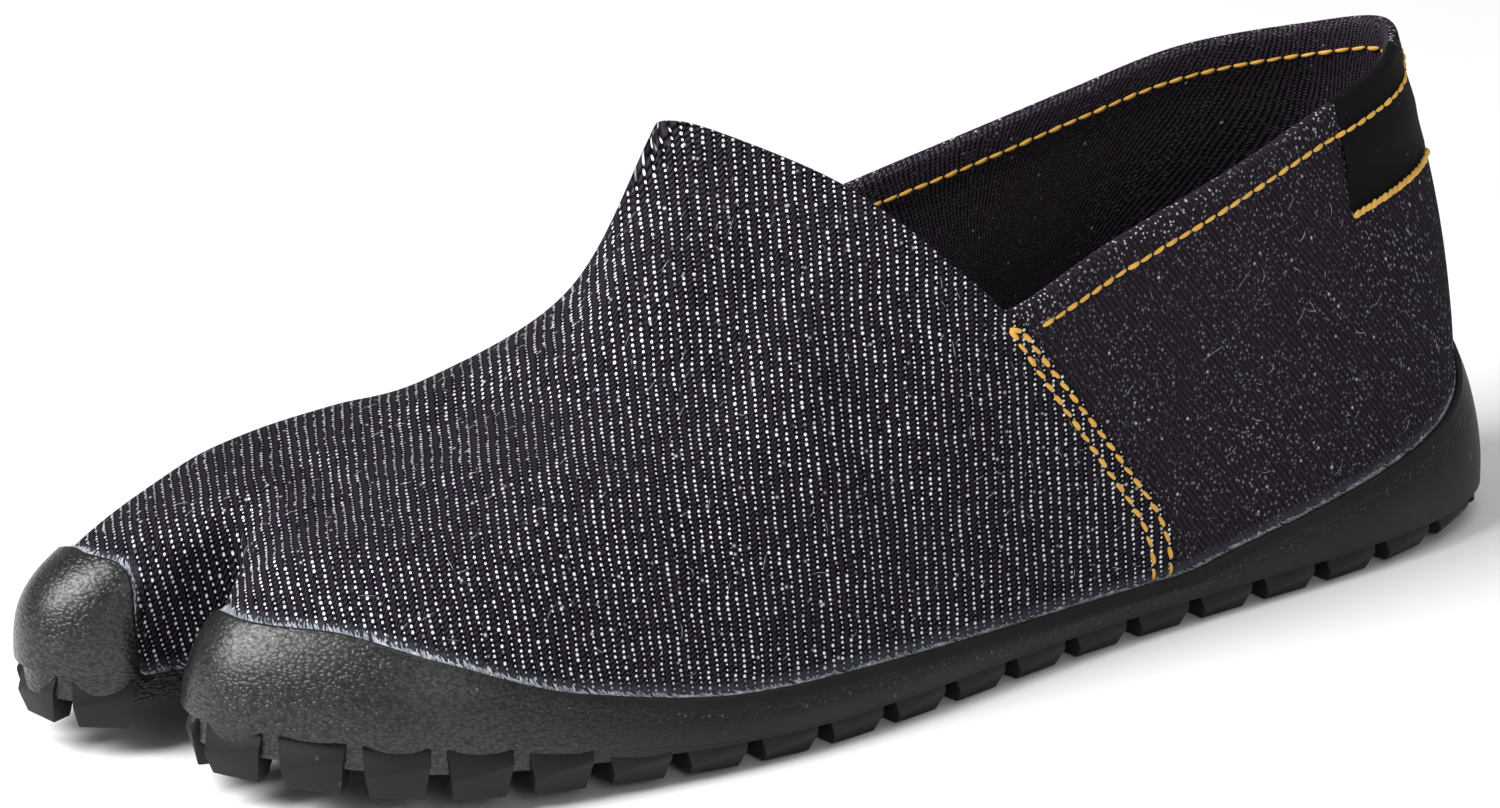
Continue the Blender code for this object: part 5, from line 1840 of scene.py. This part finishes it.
@dataclass
class HeelRibbon:
    """Bare ribbon laid up to the top of the collar beside the back of the heel."""

    upper: DenimUpper
    thick: float = 0.5
    gap: float = 0.08
    drop: float = 19.5
    over: float = 0.5
    start: float = 14.0
    end: float = 51.0
    columns: int = 26
    rows: int = 14
    roll: int = 7
    ease: tuple[float, float] = (0.2, 0.5)

    def build(self, materials: Sequence[bpy.types.Material]) -> bpy.types.Object:
        """Make the ribbon.

        Args:
            materials: Its one finish.

        Returns:
            The piece.
        """
        shell, upper = self.upper.shell, self.upper
        where = np.linspace(self.start, self.end, self.columns)
        total, _ = shell.measure(where)
        thick = upper.wall + upper.hem
        front = upper.extra(where, np.ones_like(where))
        radius = (front + thick) * 0.5
        bend = total - radius
        outer = (total - self.drop) + (bend - total + self.drop) * np.linspace(0.0, 1.0, self.rows)[:, None]
        angles = np.linspace(0.0, math.pi * self.over, self.roll + 1)[1:, None]
        hung = np.maximum(upper.extra(where[None, :], outer / total), 0.0)
        eased = smooth(np.linspace(0, 1, self.rows), *self.ease)
        lift = np.concatenate([
            np.maximum(hung, upper.hem * eased[:, None]) + self.gap,
            (front - thick) * 0.5 + (radius + self.gap) * np.cos(angles),
        ])
        push = np.concatenate([np.zeros_like(outer), (radius + self.gap) * np.sin(angles)])
        share = np.concatenate([outer, np.repeat(bend[None, :], self.roll, 0)]) / total
        grid_where = np.broadcast_to(where[None, :], share.shape)
        points, out = shell.raised(grid_where, share, lift, push)
        bm = bmesh.new()
        uv_layer = bm.loops.layers.uv.new("cloth")
        add_grid(bm, shell.last.world(points))
        bm.verts.index_update()
        run = lengths(points[:, 0][None])[0]
        for face in bm.faces:
            for loop in face.loops:
                i, j = divmod(loop.vert.index, self.columns)
                loop[uv_layer].uv = Vector((run[i], where[j])) * UV_SCALE
        normal = sum((f.normal for f in bm.faces), Vector())
        if normal.dot(Vector(out[0, self.columns // 2])) < 0.0:
            bmesh.ops.reverse_faces(bm, faces=bm.faces)
        bmesh.ops.solidify(bm, geom=bm.faces[:] + bm.edges[:] + bm.verts[:], thickness=-self.thick * MM)
        bmesh.ops.recalc_face_normals(bm, faces=bm.faces)
        return finish_piece("heel_ribbon", bm, materials, "heel_tab", 40.0)


class Row(NamedTuple):
    """How a row is sewn: pitch, share of it that the thread covers, turn against the row, thread radius."""

    pitch: float
    fill: float
    tilt: float
    radius: float = 0.38


@dataclass
class Stitching:
    """Gold stitches round the collar, down the side seams and across the foot of the ribbon."""

    upper: DenimUpper
    ribbon: HeelRibbon
    collar: Row = Row(2.9, 0.9, 0.065)
    seam: Row = Row(3.1, 0.78, 0.13)
    cross: Row = Row(1.705, 0.98, 0.0)
    bar: Row = Row(1.5, 1.25, 0.35, 0.52)
    collar_clear: float = 2.2
    collar_lift: float = 0.12
    seam_rows: tuple[float, float] = (1.3, 5.0)
    seam_top: float = 4.6
    seam_foot: float = 0.4
    seam_lift: float = 0.1
    least_spread: float = 0.25
    bar_ends: tuple[float, float] = (3.0, 0.5)
    bar_up: float = 0.3
    bar_lift: float = 0.2
    samples: tuple[int, int, int] = (400, 60, 80)

    def __post_init__(self) -> None:
        """Keep the shell at hand."""
        self.shell = self.upper.shell

    def surface(self, where: Array, share: Array, lift: float, inner: bool) -> tuple[Array, Array]:
        """Points on the cloth's face and their outward directions.

        Args:
            where: Stations along the outline.
            share: Share of the way to the opening.
            lift: Height above the cloth.
            inner: Whether the face inside the shoe is meant.

        Returns:
            Points and directions away from the cloth.
        """
        points, out = self.shell.spot(where, share)
        if inner:
            return points - out * (self.upper.wall + self.upper.hem + lift), -out
        return points + out * (self.upper.extra(where, share) + lift)[:, None], out

    def add_stitch(self, bm: bmesh.types.BMesh, start: Array, end: Array, out: Array,
                   radius: float, tilt: float) -> None:
        """Add one stitch: a plump thread between two needle holes.

        Args:
            bm: Mesh under construction.
            start: First hole.
            end: Second hole.
            out: Direction away from the cloth.
            radius: Radius of the thread.
            tilt: Turn against the row.
        """
        along = end - start
        size = float(np.linalg.norm(along))
        along = along / size
        side = unit(np.cross(out, along))
        along = unit(along + side * tilt)
        side = unit(np.cross(out, along))
        middle = (start + end) * 0.5
        made = bmesh.ops.create_uvsphere(bm, u_segments=8, v_segments=8, radius=1.0, calc_uvs=True)["verts"]
        for vert in made:
            t = float(vert.co.z)
            plump = 0.0
            if abs(t) < 0.999:
                plump = (1.0 - abs(t) ** 3.0) ** 0.5 / max(math.sqrt(1.0 - min(t * t, 0.9999)), 1e-3)
            bow = (1.0 - t * t) * radius * 0.55 - radius * 0.35
            spot = middle + along * (t * size * 0.5) + side * (vert.co.x * radius * plump)
            spot = spot + out * (vert.co.y * radius * 0.8 * plump + bow)
            vert.co = self.shell.last.world(spot)

    def add_row(self, bm: bmesh.types.BMesh, points: Array, outs: Array, row: Row) -> None:
        """Add stitches along a line of points.

        Args:
            bm: Mesh under construction.
            points: Points of the line.
            outs: Directions away from the cloth at the points.
            row: How the row is sewn.
        """
        along = lengths(points[None])[0]
        count = max(int(round(along[-1] / row.pitch)), 1)
        pitch = along[-1] / count

        def read(values: Array, place: float) -> Array:
            """Read a line of vectors at a distance along it."""
            return np.array([np.interp(place, along, values[:, axis]) for axis in range(3)])

        for k in range(count):
            start, end = (k + 0.5 - row.fill * 0.5) * pitch, (k + 0.5 + row.fill * 0.5) * pitch
            sway = row.tilt * (1.0 + 0.5 * math.sin(k * 2.4)) + 0.04 * math.sin(k * 5.1)
            thick = row.radius * (1.0 + 0.14 * math.sin(k * 3.7 + 1.0))
            out = unit(read(outs, (k + 0.5) * pitch))
            self.add_stitch(bm, read(points, start), read(points, end), out, thick, sway)

    def collar_line(self, inner: bool) -> tuple[Array, Array]:
        """Line of the collar's stitch row, from the outer seam round the heel to the inner one.

        Args:
            inner: Whether the row inside the shoe is meant.

        Returns:
            Points and directions away from the cloth.
        """
        last = self.shell.last
        first = last.station("seam_outer") - self.collar_clear
        second = last.station("seam_inner") - last.period + self.collar_clear
        where = np.linspace(first, second, self.samples[0])
        total, _ = self.shell.measure(where)
        where_mod = np.mod(where, last.period)
        share = 1.0 - self.upper.stitch_drop / total
        points, outs = self.surface(where_mod, share, self.collar_lift, inner)
        ribbon = (where > self.ribbon.start) & (where < self.ribbon.end)
        raised = np.where(ribbon, self.ribbon.thick + self.ribbon.gap, 0.0)
        if not inner:
            points = points + outs * raised[:, None]
        return points, outs

    def seam_line(self, side: Side, offset: float) -> tuple[Array, Array]:
        """Line of one stitch row beside a side seam, from near the throat down to the rubber.

        Args:
            side: Side of the shoe.
            offset: Distance of the row from the seam.

        Returns:
            Points and directions away from the cloth.
        """
        last = self.shell.last
        name = "seam_outer" if side is Side.OUTER else "seam_inner"
        seam = last.station(name)
        total, cup = self.shell.measure(np.array([seam]))
        ends = 1.0 - self.seam_top / total[0], (cup[0] + self.seam_foot) / total[0]
        share = np.linspace(*ends, self.samples[1])
        here, _ = self.shell.spot(np.full_like(share, seam), share)
        next_to, _ = self.shell.spot(np.full_like(share, seam + side.value), share)
        spread = np.linalg.norm(next_to - here, axis=1)
        where = seam + side.value * offset / np.maximum(spread, self.least_spread)
        return self.surface(where, share, self.seam_lift, False)

    def build(self, materials: Sequence[bpy.types.Material]) -> list[bpy.types.Object]:
        """Make the stitches.

        Args:
            materials: Their one finish.

        Returns:
            The pieces: collar, side seams and ribbon bar.
        """
        pieces = []
        bm = bmesh.new()
        for inner in (False, True):
            self.add_row(bm, *self.collar_line(inner), self.collar)
        pieces.append(finish_piece("collar_stitches", bm, materials))
        bm = bmesh.new()
        for side in Side:
            rows = [self.seam_line(side, offset) for offset in self.seam_rows]
            for points, outs in rows:
                self.add_row(bm, points, outs, self.seam)
            tops = np.stack([rows[1][0][0], rows[0][0][0]])
            outs = np.stack([rows[1][1][0], rows[0][1][0]])
            self.add_row(bm, tops, outs, self.cross)
        pieces.append(finish_piece("seam_stitches", bm, materials))
        bm = bmesh.new()
        ends = self.ribbon.start + self.bar_ends[0], self.ribbon.end + self.bar_ends[1]
        where = np.linspace(*ends, self.samples[2])
        total, _ = self.shell.measure(where)
        share = 1.0 - (self.ribbon.drop - self.bar_up) / total
        self.add_row(bm, *self.surface(where, share, self.ribbon.thick + self.bar_lift, False), self.bar)
        pieces.append(finish_piece("ribbon_bar_stitches", bm, materials))
        return pieces


@dataclass
class LooseFibres:
    """Frayed ends of cloth along the rubber's edge and stray fibres on the denim."""

    upper: DenimUpper
    seed: int = 11
    fray_count: int = 2600
    fray_sides: float = 0.55
    fray_split: float = 0.2
    fray_lean: tuple[float, float] = (0.5, 1.9)
    fray_climb: tuple[float, float] = (0.6, 1.9)
    fray_radius: tuple[float, float] = (0.08, 0.23)
    lint_count: int = 420
    lint_curl: float = 1.6
    lint_size: tuple[float, float] = (1.2, 3.6)
    lint_radius: tuple[float, float] = (0.018, 0.035)

    def add_strand(self, bm: bmesh.types.BMesh, path: Array, radius: float) -> None:
        """Add one tapered strand.

        Args:
            bm: Mesh under construction.
            path: Points along the strand in table millimetres.
            radius: Radius at its thickest.
        """
        count = len(path)
        along = unit(np.gradient(path, axis=0))
        side = unit(np.cross(along, np.array([0.3, 0.5, 0.81])))
        third = np.cross(along, side)
        width = radius * np.sin(np.linspace(0.0, math.pi, count)) ** 0.5
        ring = []
        for k in range(4):
            angle = math.tau * k / 3.0
            ring.append(path + (side * math.cos(angle) + third * math.sin(angle)) * width[:, None])
        add_grid(bm, self.upper.shell.last.world(np.stack(ring, 1)))

    def build(self, materials: Sequence[bpy.types.Material]) -> bpy.types.Object:
        """Make the fibres.

        Args:
            materials: Their one finish.

        Returns:
            The piece.
        """
        shell = self.upper.shell
        last = shell.last
        rng = np.random.default_rng(self.seed)
        bm = bmesh.new()
        ends = last.cap_ends()
        for k in range(self.fray_count):
            where = (k + rng.uniform(0.0, 1.0)) * last.period / self.fray_count
            weight = self.fray_sides + (1.0 - self.fray_sides) * float(last.cap_weight(where))
            if ends[0] < where < ends[1] and rng.uniform(0.0, 1.0) > self.fray_split:
                continue
            total, cup = shell.measure(np.array([where]))
            t = np.linspace(0.0, 1.0, 4)
            lean = rng.uniform(*self.fray_lean)
            climb = rng.uniform(*self.fray_climb) * weight
            places = where + lean * (t - 0.5)
            rise = cup[0] - 0.2 + rng.uniform(0.0, 0.5) + climb * t
            points, out = shell.spot(places, rise / total[0])
            lift = self.upper.extra(places, rise / total[0]) + 0.08 + 0.3 * weight * np.sin(t * math.pi * 0.8)
            self.add_strand(bm, points + out * lift[:, None], rng.uniform(*self.fray_radius) * weight)
        for _ in range(self.lint_count):
            where = rng.uniform(0.0, last.period)
            total, cup = shell.measure(np.array([where]))
            low = (cup[0] + 3.0) / total[0]
            share = rng.uniform(low, 0.97)
            turn = rng.uniform(0.0, math.tau)
            curl = rng.uniform(-self.lint_curl, self.lint_curl)
            size = rng.uniform(*self.lint_size)
            t = np.linspace(0.0, 1.0, 5)
            angle = turn + curl * t
            places = where + size * np.cumsum(np.cos(angle)) * 0.25
            shares = np.clip(share + size * np.cumsum(np.sin(angle)) * 0.25 / total[0], low, 0.98)
            points, out = shell.spot(np.mod(places, last.period), shares)
            lift = self.upper.extra(np.mod(places, last.period), shares) + 0.06 + 0.15 * np.sin(t * math.pi)
            self.add_strand(bm, points + out * lift[:, None], rng.uniform(*self.lint_radius))
        return finish_piece("loose_fibres", bm, materials)


class Lamp(NamedTuple):
    """A soft round lamp: name, place and width in metres, power in watts."""

    name: str
    place: tuple[float, float, float]
    size: float
    power: float


@dataclass
class Studio:
    """Pale floor, soft lights and the camera of the picture."""

    eye: tuple[float, float, float] = (984.103, 1241.333, 588.600)
    right: tuple[float, float, float] = (-0.82562, 0.56422, 0.0)
    up: tuple[float, float, float] = (-0.19297, -0.28238, 0.93969)
    ahead: tuple[float, float, float] = (-0.53019, -0.77583, -0.34202)
    lens: float = 238.785
    sensor: float = 36.0
    floor_size: float = 8.0
    floor_colour: Colour = (0.97, 0.97, 0.97)
    floor_shade: Colour = (0.95, 0.95, 0.95)
    sky: float = 0.26
    aim: tuple[float, float, float] = (0.0, 0.0, 0.04)
    lamps: tuple[Lamp, ...] = (
        Lamp("key", (1.12, -0.1, 1.02), 0.85, 30.0),
        Lamp("top", (-0.4, 0.3, 1.7), 1.2, 6.5),
        Lamp("fill", (0.4, 1.6, 0.8), 0.8, 4.5),
    )

    def build_camera(self, last: Last) -> None:
        """Set the camera where the picture was taken from.

        Args:
            last: The shoe's last, whose frame the camera's place is given in.
        """
        data = bpy.data.cameras.new("camera")
        data.lens = self.lens
        data.sensor_width = self.sensor
        data.sensor_fit = "HORIZONTAL"
        data.clip_start, data.clip_end = 0.05, 50.0
        camera = bpy.data.objects.new("camera", data)
        turn = Matrix((self.right, self.up, tuple(-v for v in self.ahead))).transposed()
        camera.matrix_world = Matrix.Translation(last.world(np.array(self.eye))) @ turn.to_4x4()
        bpy.context.scene.collection.objects.link(camera)
        bpy.context.scene.camera = camera

    def build_floor(self) -> None:
        """Lay the floor."""
        bm = bmesh.new()
        bmesh.ops.create_grid(bm, x_segments=1, y_segments=1, size=self.floor_size)
        mesh = bpy.data.meshes.new("floor")
        bm.to_mesh(mesh)
        bm.free()
        material, graph, shader = new_material("floor", Roughness=0.9, Specular_IOR_Level=0.1)
        cloud = graph.noise(graph.place(), 0.004, 2.0).outputs["Fac"]
        graph.put(shader.inputs["Base Color"], graph.mix(cloud, self.floor_colour, self.floor_shade))
        mesh.materials.append(material)
        floor = bpy.data.objects.new("floor", mesh)
        bpy.context.scene.collection.objects.link(floor)

    def build_light(self, lamp: Lamp) -> None:
        """Hang one lamp that looks at the shoe.

        Args:
            lamp: The lamp.
        """
        data = bpy.data.lights.new(lamp.name, "AREA")
        data.shape = "DISK"
        data.size = lamp.size
        data.energy = lamp.power
        light = bpy.data.objects.new(lamp.name, data)
        spot = Vector(lamp.place)
        turn = (Vector(self.aim) - spot).to_track_quat("-Z", "Y").to_matrix().to_4x4()
        light.matrix_world = Matrix.Translation(spot) @ turn
        bpy.context.scene.collection.objects.link(light)

    def build(self, last: Last) -> None:
        """Set up floor, lights, sky and camera.

        Args:
            last: The shoe's last.
        """
        self.build_camera(last)
        self.build_floor()
        for lamp in self.lamps:
            self.build_light(lamp)
        world = bpy.data.worlds.new("studio")
        world.use_nodes = True
        back = world.node_tree.nodes["Background"]
        back.inputs["Color"].default_value = (1.0, 1.0, 1.0, 1.0)
        back.inputs["Strength"].default_value = self.sky
        bpy.context.scene.world = world
        bpy.context.scene.view_settings.view_transform = "Standard"


def main() -> None:
    """Build the pieces in order, dress them and light them."""
    logging.basicConfig(level=logging.INFO, format="%(name)s %(message)s")
    last = Last()
    shell = Shell(last)
    groups = Groups()
    upper = DenimUpper(shell)
    cloth = (
        Denim("vamp_denim"),
        Denim("quarter_denim", line_pitch=0.95, dot_pitch=0.8, fleck_size=0.17, wobble=1.6,
              density=0.42, softness=0.75, strength=0.27, clumps=0.8, jitter=0.9, rim_gain=0.65,
              warp=(0.0110, 0.0088, 0.0120), ridge=(0.046, 0.037, 0.050)),
        Denim("lining_denim", line_pitch=0.95, dot_pitch=0.8, fleck_size=0.16, wobble=1.2,
              density=0.5, softness=0.7, strength=0.1, clumps=0.5, jitter=0.7,
              warp=(0.0020, 0.0017, 0.0026), ridge=(0.115, 0.090, 0.120)),
    )
    upper.build([finish.material(groups) for finish in cloth])
    CupSole(shell).build([Rubber().material(groups)])
    bed = Denim("footbed_cloth", line_pitch=0.8, dot_pitch=0.8, fleck_size=0.12, density=0.2, strength=0.2)
    Footbed(shell).build([bed.material(groups)])
    ribbon = HeelRibbon(upper)
    ribbon.build([Webbing().material(groups)])
    Stitching(upper, ribbon).build([Thread().material(groups)])
    LooseFibres(upper).build([Fibre().material(groups)])
    Studio().build(last)
    bpy.context.view_layer.update()


if __name__ == "__main__":
    main()
